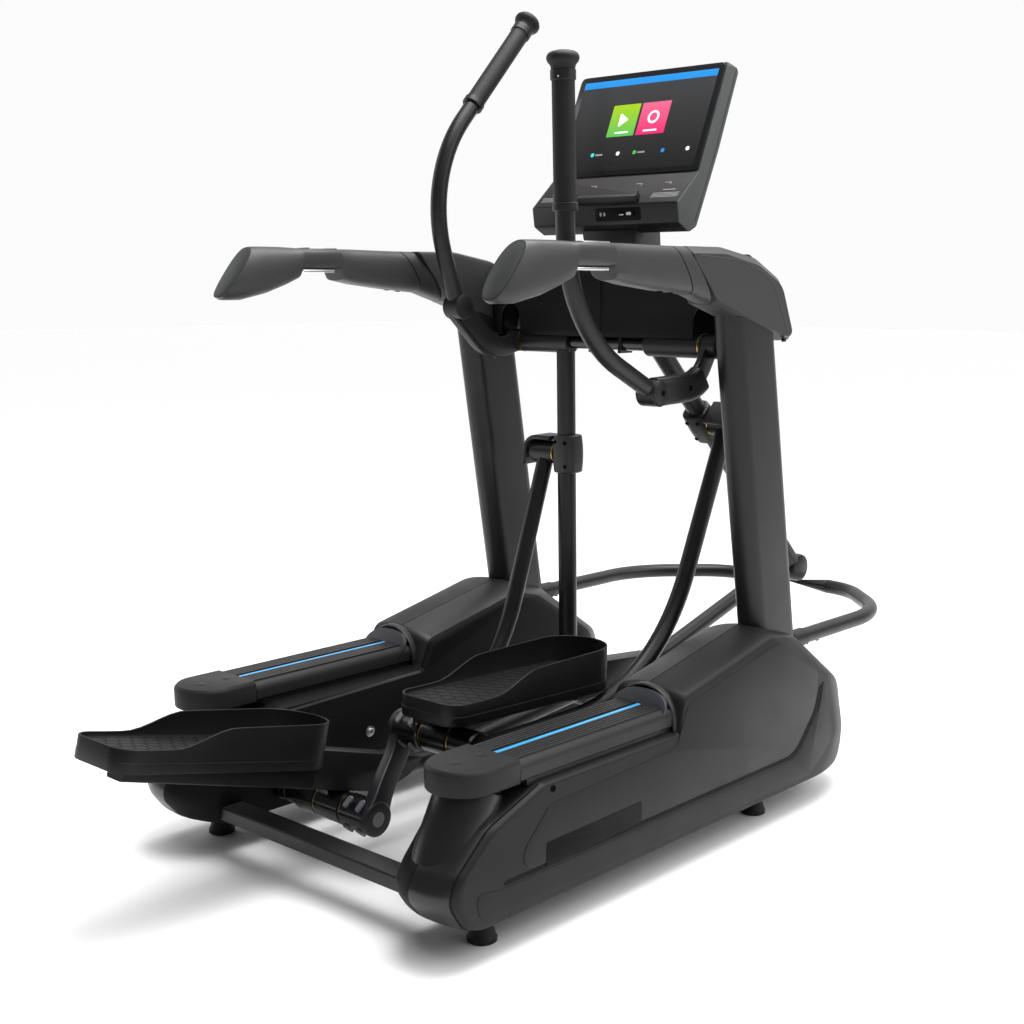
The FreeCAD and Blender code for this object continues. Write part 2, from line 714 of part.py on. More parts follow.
def pedal_tray():
    """Foot tray with a skirt, low at the heel and high at the toe; own frame as the foot link's."""
    outside = tray_blank(TRAY_HALF, 0, TRAY_LENGTH, -4, 90, 40)
    inside = tray_blank(TRAY_HALF - TRAY_WALL, TRAY_WALL, TRAY_LENGTH - TRAY_WALL, 27, 100, 36)
    under = tray_blank(TRAY_HALF - TRAY_WALL, TRAY_WALL, TRAY_LENGTH - TRAY_WALL, -5, 22, 36)
    rim_line = [(-10, 37), (115, 42), (165, 56), (215, 70), (260, 76), (495, 88)]
    rim_cut = prism([*rim_line, (495, 120), (-10, 120)], 0, 300)
    tray = outside.cut(inside).cut(under).cut(rim_cut)
    placed = place(tray, TRAY_REAR, TRAY_LIFT, TRAY_TILT)
    half = BEAM_SIZE / 2 + GAP
    channel = block((BEAM_X - half, BEAM_X + half), (-BEAM_TAIL - 1, -700), (-60, half))
    tube_room = rod((BEAM_X, -777, 34.6), (BEAM_X, -700, 34.6), LINK_TUBE_RADIUS + GAP)
    bracket_room = block((BEAM_X - half, BEAM_X + half), (-777, -700), (-60, 55))
    return placed.cut(channel).cut(tube_room).cut(bracket_room)


def pedal_mat():
    """Tread mat lying in the tray."""
    mat = tray_blank(TRAY_HALF - 10, 12, TRAY_LENGTH - 60, 27, 31, 30)
    return place(mat, TRAY_REAR, TRAY_LIFT, TRAY_TILT)


def swing_arm():
    """Hub on the top axle and the tube down to the knuckle; own frame at the pivot, hanging down."""
    hub = rod_x(0, 0, 25, 104.5, 252)
    tube = rod((SWING_X, 0, 0), (SWING_X, 0, -KNUCKLE_RADIUS + 10), SWING_TUBE_RADIUS)
    clamp = rod((SWING_X, 0, -ROCKER_RADIUS - 45), (SWING_X, 0, -ROCKER_RADIUS + 45), 23.5)
    boss = rod_x(0, -ROCKER_RADIUS, 24, 125, 149)
    knuckle = rod_x(0, -KNUCKLE_RADIUS, 33, 105.5, 147)
    arm = fused(hub, tube, clamp, boss, knuckle)
    return arm.cut(rod_x(0, 0, AXLE_RADIUS + FIT, 100, 260))


HANDLE_PATH = [(0, 0), (-195, 80), (-283, 352), (50, 702)]
GRIP_LENGTH = 276.0
KNOB_LENGTH = 34.0


def handle_point(distance_from_top):
    """Point on the handle's top run, a distance below its upper end."""
    low, high = HANDLE_PATH[2], HANDLE_PATH[3]
    run = math.hypot(high[0] - low[0], high[1] - low[1])
    part = distance_from_top / run
    return (HANDLE_X, high[0] + (low[0] - high[0]) * part, high[1] + (low[1] - high[1]) * part)


def handlebar():
    """J-link from the hub, its elbow and the bent tube; own frame at the pivot."""
    points = [(HANDLE_X, y, z) for y, z in HANDLE_PATH[1:]]
    points[-1] = handle_point(GRIP_LENGTH)
    tube = bent_tube(points, [280], HANDLE_TUBE_RADIUS)
    end = HANDLE_PATH[1]
    link = prism([(0, -24), (8, 20), (-50, 8), (-85, 12), (-130, 50), (-180, 98), (-214, 62), (-150, -6),
                  (-104, -38), (-60, -38)], 256, 274)
    hub = rod_x(0, 0, 25, 252.3, 288)
    elbow = rod_x(end[0], end[1], 27, HANDLE_X - 24, HANDLE_X + 24)
    clamp = rod((HANDLE_X, end[0], end[1]), (HANDLE_X, end[0] - 11, end[1] + 34), 22)
    bar = fused(tube, link, hub, elbow, clamp)
    return bar.cut(rod_x(0, 0, AXLE_RADIUS + FIT, 240, 300))


def grip():
    """Rubber grip with a ring at each end and a mushroom knob on top."""
    top = handle_point(KNOB_LENGTH)
    low = handle_point(GRIP_LENGTH - 0.3)
    sleeve = rod(low, top, HANDLE_GRIP_RADIUS)
    rings = [rod(handle_point(a), handle_point(b), 23) for a, b in ((GRIP_LENGTH - 1, GRIP_LENGTH - 14),
                                                                     (KNOB_LENGTH + 16, KNOB_LENGTH))]
    knob = cone(handle_point(KNOB_LENGTH + 0.1), handle_point(KNOB_LENGTH - 12), 23, 32)
    crown = cone(handle_point(KNOB_LENGTH - 12), handle_point(0), 32, 20)
    return fused(sleeve, *rings, knob, crown)


# ---------------------------------------------------------------- assembly
def frame_nodes():
    nodes = {
        "base_frame": base_frame(),
        "levelling_feet": levelling_feet(),
        "rear_posts": pair(rear_post()),
        "step_end_caps": pair(end_cap()),
        "step_light_strips": pair(light_strip()),
        "cowl_inserts": pair(cowl_insert()),
        "top_beam": top_beam(),
        "top_axle": top_axle(),
        "crossbeam_housing": crossbeam_housing(),
        "front_hoop": front_hoop(),
        "hoop_bolts": hoop_bolts(),
        "pulse_contacts": pulse_contacts(),
        "console_shell": console_shell(),
        "console_fascia": console_fascia(),
        "display_screen": display_screen(),
        "keypad_overlay": keypad_overlay(),
        "reading_ledge": reading_ledge(),
        "port_panel": port_panel(),
        "console_neck": console_neck(),
        "cover_screws": cover_screws(),
        "main_bearings": main_bearings(),
        "drive_brackets": drive_brackets(),
        "drive_belt": drive_belt(),
        "brake_magnet": brake_magnet(),
    }
    paired = {
        "outer_cover": outer_cover(),
        "inner_cover": inner_cover(),
        "step_tread": step_tread(),
        "column": column(),
        "handrail": handrail(),
        "shoulder_cover": shoulder_cover(),
    }
    for name, shape in paired.items():
        nodes["right_" + name] = shape
        nodes["left_" + name] = mirrored(shape)
    return nodes


def moving_nodes():
    nodes = {
        "crank_web": crank_web(),
        "crank_pins": crank_pins(),
        "crank_arms": crank_arms(),
        "clamp_bolts": clamp_bolts(),
        "thrust_washers": thrust_washers(),
        "drive_pulley": drive_pulley(),
        "flywheel": flywheel(),
    }
    for side, sign in SIDES.items():
        state = STATES[side]
        drop = math.radians(state["beam"])
        link_y = state["knuckle"][0] + BEAM_DROP * math.sin(drop)
        link_z = state["knuckle"][1] - BEAM_DROP * math.cos(drop)
        rod_turn = state["rod"] - 35.35
        pieces = {
            "roller": place(roller(), *state["pin"], 0),
            "connecting_rod": place(connecting_rod(), *state["pin"], rod_turn),
            "foot_link": place(foot_link(), link_y, link_z, state["beam"]),
            "pedal_tray": place(pedal_tray(), link_y, link_z, state["beam"]),
            "pedal_mat": place(pedal_mat(), link_y, link_z, state["beam"]),
            "swing_arm": place(swing_arm(), PIVOT_Y, PIVOT_Z, state["swing"]),
            "handlebar": place(handlebar(), PIVOT_Y, PIVOT_Z, state["swing"]),
            "grip": place(grip(), PIVOT_Y, PIVOT_Z, state["swing"]),
        }
        for name, shape in pieces.items():
            nodes[side + "_" + name] = shape if sign > 0 else mirrored(shape)
    return nodes


def footprint_middle(nodes):
    box = group(nodes.values()).optimalBoundingBox()
    return (box.YMin + box.YMax) / 2


NODES = {**frame_nodes(), **moving_nodes()}
ORIGIN_Y = footprint_middle(NODES)

os.makedirs("parts", exist_ok=True)
for node_name, node_shape in NODES.items():
    node_shape.translate(vec(0, -ORIGIN_Y, 0))
    node_shape.exportStep("parts/" + node_name + ".step")
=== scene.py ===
"""Elliptical trainer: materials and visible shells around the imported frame.

Shapes are drawn in millimetres, +X outward on the right-hand side, Y forward from the rear feet, Z up,
or in a moving part's own frame. Each is mirrored for the left-hand side and placed from the frame.
"""

import json
import math

import bmesh
import bpy
from mathutils import Matrix, Vector


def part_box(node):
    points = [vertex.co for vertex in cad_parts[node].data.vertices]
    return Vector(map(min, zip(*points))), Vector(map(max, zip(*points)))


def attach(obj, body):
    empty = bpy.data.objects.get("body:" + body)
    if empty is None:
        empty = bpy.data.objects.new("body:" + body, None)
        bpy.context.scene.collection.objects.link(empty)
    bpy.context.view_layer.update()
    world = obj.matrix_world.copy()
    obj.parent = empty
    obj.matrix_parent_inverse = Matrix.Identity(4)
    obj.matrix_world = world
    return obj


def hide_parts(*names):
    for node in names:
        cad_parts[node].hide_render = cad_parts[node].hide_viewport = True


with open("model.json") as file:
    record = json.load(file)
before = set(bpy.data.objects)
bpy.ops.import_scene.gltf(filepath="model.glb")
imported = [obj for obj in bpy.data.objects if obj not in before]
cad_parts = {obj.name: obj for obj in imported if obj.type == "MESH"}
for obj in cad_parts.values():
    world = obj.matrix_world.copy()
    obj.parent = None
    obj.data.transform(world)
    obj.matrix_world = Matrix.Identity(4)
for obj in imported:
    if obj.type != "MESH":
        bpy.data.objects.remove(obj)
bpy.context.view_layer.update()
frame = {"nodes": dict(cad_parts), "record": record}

MM = 0.001
FOOT_RADIUS = 26.5
KNUCKLE_BOSS = 33.0
ROD_HEAD = 40.0
BEAM_DROP = 221.7
BEAM_HALF = 23.0
BEAM_TAIL = 1190.0
BEAM_X = 82.5
TRAY_X = 115.0
SWING_X = 125.0
ROD_X = 183.0
HANDLE_X = 265.0
COLUMN_X = 355.0
HOOP_X = 360.0
HOOP_Z = 347.0
HANDLE_TUBE = 17.5
SWING_TUBE = 20.5
ROD_TUBE = 18.5
LINK_TUBE = 18.0
PIN_RADIUS = 20.0
BARREL_RADIUS = 33.5
SIDES = {"right": 1, "left": -1}

DATUM_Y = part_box("levelling_feet")[0][1] / MM + FOOT_RADIUS
JOINTS = {joint["name"]: joint for joint in frame["record"]["behaviour"]["joints"]}


# ---------------------------------------------------------------- places
def joint_point(name):
    """A joint's (y, z) in millimetres, Y from the rear feet."""
    place = JOINTS[name]["pos_m"]
    return Vector((place[1] / MM - DATUM_Y, place[2] / MM))


def in_frame(side=1):
    return Matrix.Translation((0, DATUM_Y * MM, 0)) @ Matrix.Diagonal((side * MM, MM, MM, 1))


def at(point, angle, side):
    """Matrix for a moving part's own frame at a (y, z) point, turned about +X."""
    move = Matrix.Translation((0, (point[0] + DATUM_Y) * MM, point[1] * MM))
    return move @ Matrix.Rotation(angle, 4, "X") @ Matrix.Diagonal((side * MM, MM, MM, 1))


PIVOT = joint_point("right_arm_swing")


def linkage(side):
    """Where one side's linkage stands at rest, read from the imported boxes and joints."""
    low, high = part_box(side + "_swing_arm")
    knuckle = Vector((high[1] / MM - DATUM_Y - KNUCKLE_BOSS, low[2] / MM + KNUCKLE_BOSS))
    low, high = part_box(side + "_connecting_rod")
    joint = Vector((high[1] / MM - DATUM_Y - ROD_HEAD, high[2] / MM - ROD_HEAD))
    slide = JOINTS[side + "_link_slide"]["axis"]
    beam = math.atan2(slide[2], slide[1])
    pin = joint_point(side + "_rod_turn")
    foot = knuckle + BEAM_DROP * Vector((math.sin(beam), -math.cos(beam)))
    sign = SIDES[side]
    swing = math.atan2(knuckle[0] - PIVOT[0], PIVOT[1] - knuckle[1])
    chord = joint - pin
    return {
        "pin": pin,
        "rod_length": chord.length,
        "swing_length": (knuckle - PIVOT).length,
        "rocker": (joint - PIVOT).length,
        "arm": at(PIVOT, swing, sign),
        "rod": at(pin, math.atan2(chord[1], chord[0]) - ROD_CHORD, sign),
        "link": at(foot, beam, sign),
    }


# ---------------------------------------------------------------- materials
def node(tree, kind, **inputs):
    made = tree.nodes.new(kind)
    for name, value in inputs.items():
        made.inputs[name.replace("_", " ")].default_value = value
    return made


def material(name, color, roughness, metallic=0.0, grain=900.0, bump=0.08, mottle=0.12, coat=0.0,
             streak=None, specular=0.5):
    """Surface with fine grain in its bump, mottled roughness and slight colour variation."""
    made = bpy.data.materials.new(name)
    made.use_nodes = True
    tree = made.node_tree
    shader = tree.nodes["Principled BSDF"]
    shader.inputs["Metallic"].default_value = metallic
    shader.inputs["Coat Weight"].default_value = coat
    shader.inputs["Coat Roughness"].default_value = 0.2
    shader.inputs["Specular IOR Level"].default_value = specular
    place = tree.nodes.new("ShaderNodeTexCoord")
    stretch = node(tree, "ShaderNodeMapping")
    stretch.inputs["Scale"].default_value = streak or (1, 1, 1)
    tree.links.new(place.outputs["Object"], stretch.inputs["Vector"])
    fine = node(tree, "ShaderNodeTexNoise", Scale=grain, Detail=3.0)
    broad = node(tree, "ShaderNodeTexNoise", Scale=9.0, Detail=4.0, Roughness=0.6)
    tree.links.new(stretch.outputs["Vector"], fine.inputs["Vector"])
    tree.links.new(place.outputs["Object"], broad.inputs["Vector"])
    rough = node(tree, "ShaderNodeMapRange")
    rough.inputs["To Min"].default_value = max(0.02, roughness - mottle)
    rough.inputs["To Max"].default_value = min(1.0, roughness + mottle)
    tree.links.new(broad.outputs["Fac"], rough.inputs["Value"])
    tree.links.new(rough.outputs["Result"], shader.inputs["Roughness"])
    tint = tree.nodes.new("ShaderNodeMix")
    tint.data_type = "RGBA"
    tint.inputs["A"].default_value = tuple(channel * 0.86 for channel in color) + (1,)
    tint.inputs["B"].default_value = tuple(min(1, channel * 1.14) for channel in color) + (1,)
    tree.links.new(fine.outputs["Fac"], tint.inputs["Factor"])
    tree.links.new(tint.outputs["Result"], shader.inputs["Base Color"])
    relief = node(tree, "ShaderNodeBump", Strength=bump, Distance=0.0006)
    tree.links.new(fine.outputs["Fac"], relief.inputs["Height"])
    tree.links.new(relief.outputs["Normal"], shader.inputs["Normal"])
    return made


def glowing(name, low, high, strength, bottom=0.0, top=1.0):
    """Glowing surface that shades from low to high colour up its height: the lit display, and the step's blue
    strip, whose glow is painted light.
    """
    made = bpy.data.materials.new(name)
    made.use_nodes = True
    tree = made.node_tree
    shader = tree.nodes["Principled BSDF"]
    shader.inputs["Roughness"].default_value = 0.12
    shader.inputs["Emission Strength"].default_value = strength
    place = tree.nodes.new("ShaderNodeTexCoord")
    split = tree.nodes.new("ShaderNodeSeparateXYZ")
    ramp = node(tree, "ShaderNodeMapRange")
    ramp.inputs["From Min"].default_value = bottom
    ramp.inputs["From Max"].default_value = top
    mix = tree.nodes.new("ShaderNodeMix")
    mix.data_type = "RGBA"
    mix.inputs["A"].default_value = low + (1,)
    mix.inputs["B"].default_value = high + (1,)
    tree.links.new(place.outputs["Object"], split.inputs["Vector"])
    tree.links.new(split.outputs["Z"], ramp.inputs["Value"])
    tree.links.new(ramp.outputs["Result"], mix.inputs["Factor"])
    tree.links.new(mix.outputs["Result"], shader.inputs["Base Color"])
    tree.links.new(mix.outputs["Result"], shader.inputs["Emission Color"])
    return made


PAINT = material("powder_coat", (0.010, 0.0102, 0.0105), 0.36, grain=1300, bump=0.10, specular=0.32)
COVER = material("cover_plastic", (0.012, 0.0126, 0.0116), 0.44, grain=1700, bump=0.14, specular=0.42)
POD = material("pod_plastic", (0.0105, 0.0109, 0.0102), 0.44, grain=1700, bump=0.14, specular=0.2)
CAP = material("cap_plastic", (0.016, 0.0164, 0.0158), 0.5, grain=1700, bump=0.14, specular=0.16)
# Darker copy of the cover plastic for the pods' inner halves and the beam housing: painted shade.
INNER = material("cover_plastic_painted_shade", (0.0035, 0.0035, 0.0036), 0.55, grain=1700, bump=0.12, specular=0.12)
RAIL_SKIN = material("rail_plastic", (0.028, 0.029, 0.0275), 0.44, grain=1700, bump=0.14, specular=0.36)
# Near-black for the seams, and for the side band, where it is painted shade in the pod's side groove.
SEAM_AND_SHADE = material("seam_and_painted_shade_plastic", (0.0045, 0.0045, 0.0045), 0.6, grain=1700, bump=0.12, specular=0.1)
PLATE = material("badge_plate", (0.003, 0.003, 0.003), 0.5, grain=900, bump=0.03, specular=0.08)
REAR = material("rear_plastic", (0.008, 0.0082, 0.009), 0.32, grain=1500, bump=0.08, specular=0.5)
DARK = material("dark_plastic", (0.0055, 0.0055, 0.006), 0.42, grain=1700, bump=0.14, specular=0.35)
GREY = material("grey_plastic", (0.060, 0.065, 0.062), 0.5, grain=1600, bump=0.14, specular=0.35)
ENDS = material("rail_end_plastic", (0.024, 0.0255, 0.0255), 0.5, grain=1500, bump=0.14, specular=0.35)
INSERT = material("insert_plastic", (0.030, 0.031, 0.036), 0.45, grain=1500, bump=0.08, specular=0.35)
STEP = material("step_rubber", (0.009, 0.009, 0.0088), 0.5, grain=1200, bump=0.12, specular=0.35)
RUBBER = material("grip_rubber", (0.006, 0.006, 0.0062), 0.55, grain=800, bump=0.25, specular=0.3)
RIM = material("tray_plastic", (0.006, 0.006, 0.006), 0.42, grain=1500, bump=0.16, specular=0.2)
MAT = material("mat_rubber", (0.0055, 0.0055, 0.0055), 0.6, grain=1000, bump=0.3, specular=0.2)
BLACK = material("black_steel", (0.004, 0.004, 0.0045), 0.24, grain=700, bump=0.06, coat=0.3, mottle=0.08,
                 specular=0.4)
CAST = material("crank_casting", (0.012, 0.0125, 0.014), 0.38, grain=600, bump=0.3, specular=0.4)
STEEL = material("machined_steel", (0.50, 0.50, 0.50), 0.26, metallic=1.0, grain=500, bump=0.08,
                 streak=(1, 1, 12))
BOLT = material("bolt_steel", (0.12, 0.125, 0.14), 0.42, metallic=0.3, grain=700, bump=0.1)
PIN_END = material("pin_end_steel", (0.16, 0.15, 0.14), 0.45, metallic=0.3, grain=500, bump=0.1)
CONTACT = material("contact_steel", (0.72, 0.73, 0.74), 0.24, metallic=1.0, grain=300, bump=0.05,
                   streak=(1, 0.04, 1))
BRASS = material("washer_brass", (0.55, 0.38, 0.14), 0.3, metallic=1.0, grain=600, bump=0.08)
IRON = material("drive_iron", (0.10, 0.10, 0.10), 0.5, metallic=0.8, grain=400, bump=0.2)
BELT = material("belt_rubber", (0.018, 0.018, 0.018), 0.7, grain=500, bump=0.3)
GLASS = material("screen_bezel", (0.012, 0.012, 0.013), 0.14, grain=200, bump=0.0, mottle=0.03)
KEYPAD = material("keypad_film", (0.022, 0.0205, 0.020), 0.6, grain=1400, bump=0.04, specular=0.2)
PRINT = material("print_grey", (0.30, 0.30, 0.30), 0.5)
# Near-black for hole and socket discs: painted shade of their depth.
HOLE_SHADE = material("hole_painted_shade", (0.002, 0.002, 0.002), 0.8, specular=0.03)
# Blue strip with a slight emission: its blue is its own colour, its glow is painted light.
STRIP_GLOW = glowing("strip_blue_painted_glow", (0.035, 0.27, 0.56), (0.035, 0.27, 0.56), 0.55)
PICTURE = glowing("picture_grey", (0.016, 0.016, 0.016), (0.050, 0.051, 0.053), 0.05, 1.34, 1.53)
BAR = glowing("bar_blue", (0.02, 0.19, 0.50), (0.02, 0.22, 0.56), 0.45, 1.52, 1.54)
GREEN = glowing("tile_green_look", (0.08, 0.38, 0.07), (0.28, 0.44, 0.01), 0.4, 1.41, 1.48)
PINK = glowing("tile_pink_look", (0.60, 0.02, 0.13), (0.58, 0.11, 0.20), 0.4, 1.41, 1.48)
LIT = glowing("lit_white", (0.85, 0.86, 0.88), (0.85, 0.86, 0.88), 0.4)
TEAL = glowing("lit_teal", (0.05, 0.6, 0.6), (0.05, 0.6, 0.6), 0.4)


# ---------------------------------------------------------------- mesh building
def rounded(points, radii, steps=7):
    """Closed outline with an arc at each corner; radii is one number or one per corner."""
    count = len(points)
    radii = radii if isinstance(radii, (list, tuple)) else [radii] * count
    outline = []
    for index, point in enumerate(points):
        corner = Vector(point)
        back = Vector(points[index - 1]) - corner
        ahead = Vector(points[(index + 1) % count]) - corner
        reach = min(back.length, ahead.length) * 0.48
        half_turn = (math.pi - back.angle(ahead)) / 2
        radius = min(radii[index], reach / max(math.tan(half_turn), 1e-4))
        leg = radius * math.tan(half_turn)
        middle = (back.normalized() + ahead.normalized()).normalized()
        centre = corner + middle * (radius / math.cos(half_turn))
        start = corner + back.normalized() * leg - centre
        end = corner + ahead.normalized() * leg - centre
        sweep = start.angle_signed(end) if radius > 1e-3 else 0
        for step in range(steps + 1):
            turn = -sweep * step / steps
            spin = Matrix.Rotation(turn, 2)
            outline.append(centre + spin @ start)
    return outline


def plane_point(plane, a, b, height):
    return {"x": (height, a, b), "y": (a, height, b), "z": (a, b, height)}[plane]


def skin(rings, ends=True):
    """Mesh through rings of equally many points, with its two ends closed."""
    size = len(rings[0])
    verts = [tuple(point) for ring in rings for point in ring]
    faces = []
    for level in range(len(rings) - 1):
        for index in range(size):
            ahead = (index + 1) % size
            row = level * size
            faces.append((row + index, row + ahead, row + size + ahead, row + size + index))
    if ends:
        faces.append(tuple(reversed(range(size))))
        faces.append(tuple(range((len(rings) - 1) * size, len(rings) * size)))
    return verts, faces


def solid(outline, low, high, plane="x"):
    """Outline made solid across a plane: (y, z) for x, (x, z) for y, (x, y) for z."""
    return skin([[plane_point(plane, a, b, height) for a, b in outline] for height in (low, high)])


def route(points, bends, steps=18):
    """Points along straight runs joined by arcs of the given radii."""
    line = [Vector(points[0])]
    for index, bend in enumerate(bends, 1):
        corner = Vector(points[index])
        back = (Vector(points[index - 1]) - corner).normalized()
        ahead = (Vector(points[index + 1]) - corner).normalized()
        half_turn = (math.pi - back.angle(ahead)) / 2
        centre = corner + (back + ahead).normalized() * (bend / math.cos(half_turn))
        start = corner + back * (bend * math.tan(half_turn)) - centre
        axis = start.cross(corner + ahead * (bend * math.tan(half_turn)) - centre).normalized()
        for step in range(steps + 1):
            spin = Matrix.Rotation(2 * half_turn * step / steps, 3, axis)
            line.append(centre + spin @ start)
    line.append(Vector(points[-1]))
    return line


def sweep(line, section, across=Vector((1, 0, 0))):
    """Section of (a, b) points carried along a line; a runs along the across vector."""
    rings = []
    for index, point in enumerate(line):
        before = line[max(index - 1, 0)]
        after = line[min(index + 1, len(line) - 1)]
        along = (after - before).normalized()
        side = (across - along * across.dot(along)).normalized()
        up = side.cross(along)
        rings.append([point + side * a + up * b for a, b in section])
    return skin(rings)


def circle(radius, count=36):
    return [(radius * math.cos(math.tau * n / count), radius * math.sin(math.tau * n / count))
            for n in range(count)]


def tube(points, bends, radius):
    return sweep(route(points, bends), circle(radius))


def lathe(profile, origin, axis, count=48):
    """Solid of revolution from (height, radius) points along an axis."""
    axis = Vector(axis).normalized()
    side = axis.orthogonal().normalized()
    up = axis.cross(side)
    rings = []
    for height, radius in profile:
        centre = Vector(origin) + axis * height
        rings.append([centre + side * a + up * b for a, b in circle(max(radius, 0.01), count)])
    return skin(rings)


def bar_x(y, z, radius, low, high, edge=1.5):
    """Round bar along X with softened ends."""
    profile = [(0, radius - edge), (edge, radius), (high - low - edge, radius), (high - low, radius - edge)]
    return lathe(profile, (low, y, z), (1, 0, 0))


def hole_disc(origin, axis, radius=4.5, depth=2.0):
    """Screw hole as a slightly recessed disc with a small raised lip; the black it is given is painted shade
    for the hole's depth.
    """
    profile = [(-depth, radius), (0.5, radius), (0.5, radius - 0.4), (0.2, radius - 1.0)]
    return lathe(profile, origin, axis, 24)


def joined(*parts):
    verts, faces = [], []
    for part_verts, part_faces in parts:
        start = len(verts)
        verts.extend(part_verts)
        faces.extend(tuple(start + index for index in face) for face in part_faces)
    return verts, faces


def build(name, part, where):
    """Blender object from mesh data in millimetres."""
    mesh = bpy.data.meshes.new(name)
    verts, faces = part
    mesh.from_pydata([where @ Vector(vert) for vert in verts], [], faces)
    worker = bmesh.new()
    worker.from_mesh(mesh)
    bmesh.ops.remove_doubles(worker, verts=worker.verts, dist=2e-6)
    bmesh.ops.dissolve_degenerate(worker, dist=2e-6, edges=worker.edges)
    bmesh.ops.recalc_face_normals(worker, faces=worker.faces)
    worker.to_mesh(mesh)
    worker.free()
    made = bpy.data.objects.new(name, mesh)
    bpy.context.scene.collection.objects.link(made)
    return made


def settle(piece):
    """Replace the piece's mesh by the result of its modifiers."""
    graph = bpy.context.evaluated_depsgraph_get()
    mesh = bpy.data.meshes.new_from_object(piece.evaluated_get(graph))
    piece.modifiers.clear()
    piece.data = mesh


def boolean(piece, part, where, operation="DIFFERENCE"):
    """Cut mesh data out of a piece, or keep only what both share."""
    cutter = build("cutter", part, where)
    step = piece.modifiers.new("cut", "BOOLEAN")
    step.object = cutter
    step.operation = operation
    step.solver = "EXACT"
    settle(piece)
    bpy.data.objects.remove(cutter)


def bevel(piece, width, segments=2, angle=35):
    step = piece.modifiers.new("bevel", "BEVEL")
    step.width = width * MM
    step.segments = segments
    step.limit_method = "ANGLE"
    step.angle_limit = math.radians(angle)
    settle(piece)


def dress(piece, look, body, slot, *nodes):
    """Smooth the shading, set the material, attach the piece to the body it rides on and hide the frame parts
    it stands for.
    """
    piece.data.polygons.foreach_set("use_smooth", [True] * len(piece.data.polygons))
    piece.data.set_sharp_from_angle(angle=math.radians(32))
    piece.data.materials.clear()
    piece.data.materials.append(look)
    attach(piece, body)
    if nodes:
        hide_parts(*nodes)
    return piece


def make(name, part, where, look, body, slot, *nodes, edge=0.0, segments=2):
    piece = build(name, part, where)
    if edge:
        bevel(piece, edge, segments)
    return dress(piece, look, body, slot, *nodes)


def maker(prefix, where, body):
    """A make() for pieces whose names start alike and that share a place and a body."""
    def add(name, part, look, slot, *nodes, edge=0.0):
        return make(prefix + name, part, where, look, body, slot, *nodes, edge=edge)
    return add


def on_frame(name, part, look, slot, *nodes, edge=0.0):
    return make(name, part, in_frame(), look, "frame", slot, *nodes, edge=edge)


def both(name, part, look, slot, *nodes, shared=(), edge=0.0):
    """The same frame piece on both sides; nodes are named without their side, shared ones in full."""
    for side, sign in SIDES.items():
        stands_for = [side + "_" + node_name for node_name in nodes] + list(shared)
        make(side + "_" + name, part, in_frame(sign), look, "frame", slot, *stands_for, edge=edge)


# ---------------------------------------------------------------- pods
POD_MIDDLE = [(81, 275), (-49, 232), (-134, 158), (-156, 118), (-111, 66), (-70, 57), (1130, 57),
              (1166, 88), (1169, 130), (1128, 233), (921, 371), (783, 411), (470, 346), (463, 275)]
POD_OUTSIDE = [(84, 262), (-40, 214), (-108, 156), (-112, 120), (-88, 72), (-58, 63), (928, 63),
               (1004, 108), (1027, 142), (989, 272), (792, 395), (762, 394), (480, 331), (463, 262)]
POD_INSIDE = [(60, 262), (-8, 205), (-64, 138), (-82, 110), (-72, 72), (-52, 63), (928, 63),
              (1004, 108), (1027, 142), (989, 260), (792, 370), (762, 372), (505, 314), (463, 262)]
POD_RADII = [30, 70, 60, 50, 45, 30, 40, 35, 50, 60, 70, 60, 25, 6]
OUTSIDE_CURVE = [2.6, 2.3, 2.2, 2.2, 2.4, 3.0, 2.2, 1.5, 1.4, 1.6, 2.2, 2.2, 2.4, 2.4]
INSIDE_CURVE = [1.8, 1.6, 1.5, 1.5, 1.7, 2.2, 2.2, 1.5, 1.4, 1.6, 1.8, 1.8, 1.8, 2.0]
SPLIT_X = 345.0
OUTER_X = 433.5
INNER_X = 254.5
NOSE_X = 423.0
TRIM_BASE_X = 430.0
PANEL = [(96, 232), (-8, 130), (860, 134), (938, 215), (952, 296), (790, 384), (486, 322), (452, 244)]
PANEL_RADII = [24, 26, 70, 60, 40, 50, 30, 30]
SIDE_RIM = [(-86, 128), (-76, 84), (-50, 72), (924, 72), (994, 116), (1012, 146), (978, 266), (966, 268),
            (962, 220), (868, 122), (-30, 118)]
SIDE_RIM_RADII = [20, 20, 20, 30, 30, 30, 8, 8, 50, 70, 30]
BAND = [(-22, 121), (868, 125), (958, 218), (972, 262), (956, 262), (938, 216), (858, 133), (-12, 129)]
BAND_RADII = [4, 60, 40, 4, 4, 40, 60, 4]


def pod_outline(share, outside=True):
    """Pod outline in side view part-way from the split to a side face, easing in near the face."""
    faces, curves = (POD_OUTSIDE, OUTSIDE_CURVE) if outside else (POD_INSIDE, INSIDE_CURVE)
    corners = []
    for middle, face, curve in zip(POD_MIDDLE, faces, curves):
        ease = 1 - (1 - share ** curve) ** (1 / curve)
        corners.append((middle[0] + (face[0] - middle[0]) * ease, middle[1] + (face[1] - middle[1]) * ease))
    return rounded(corners, POD_RADII, 6)


def pod_shell(outside=True):
    """Half a pod; a seam is left along the cowl's top where the halves meet."""
    reach = OUTER_X - SPLIT_X if outside else INNER_X - SPLIT_X
    rings = []
    for share in (0, 0.01, 0.2, 0.4, 0.55, 0.68, 0.78, 0.86, 0.92, 0.96, 0.985, 1.0):
        outline = pod_outline(share, outside)
        ring = []
        for y, z in outline:
            seam = share < 0.005 and y > 440
            x = SPLIT_X + reach * share + (math.copysign(0.8, reach) if seam else 0)
            ring.append((x, y, z - 1.2 if seam and z > 120 else z))
        rings.append(ring)
    return skin(rings)


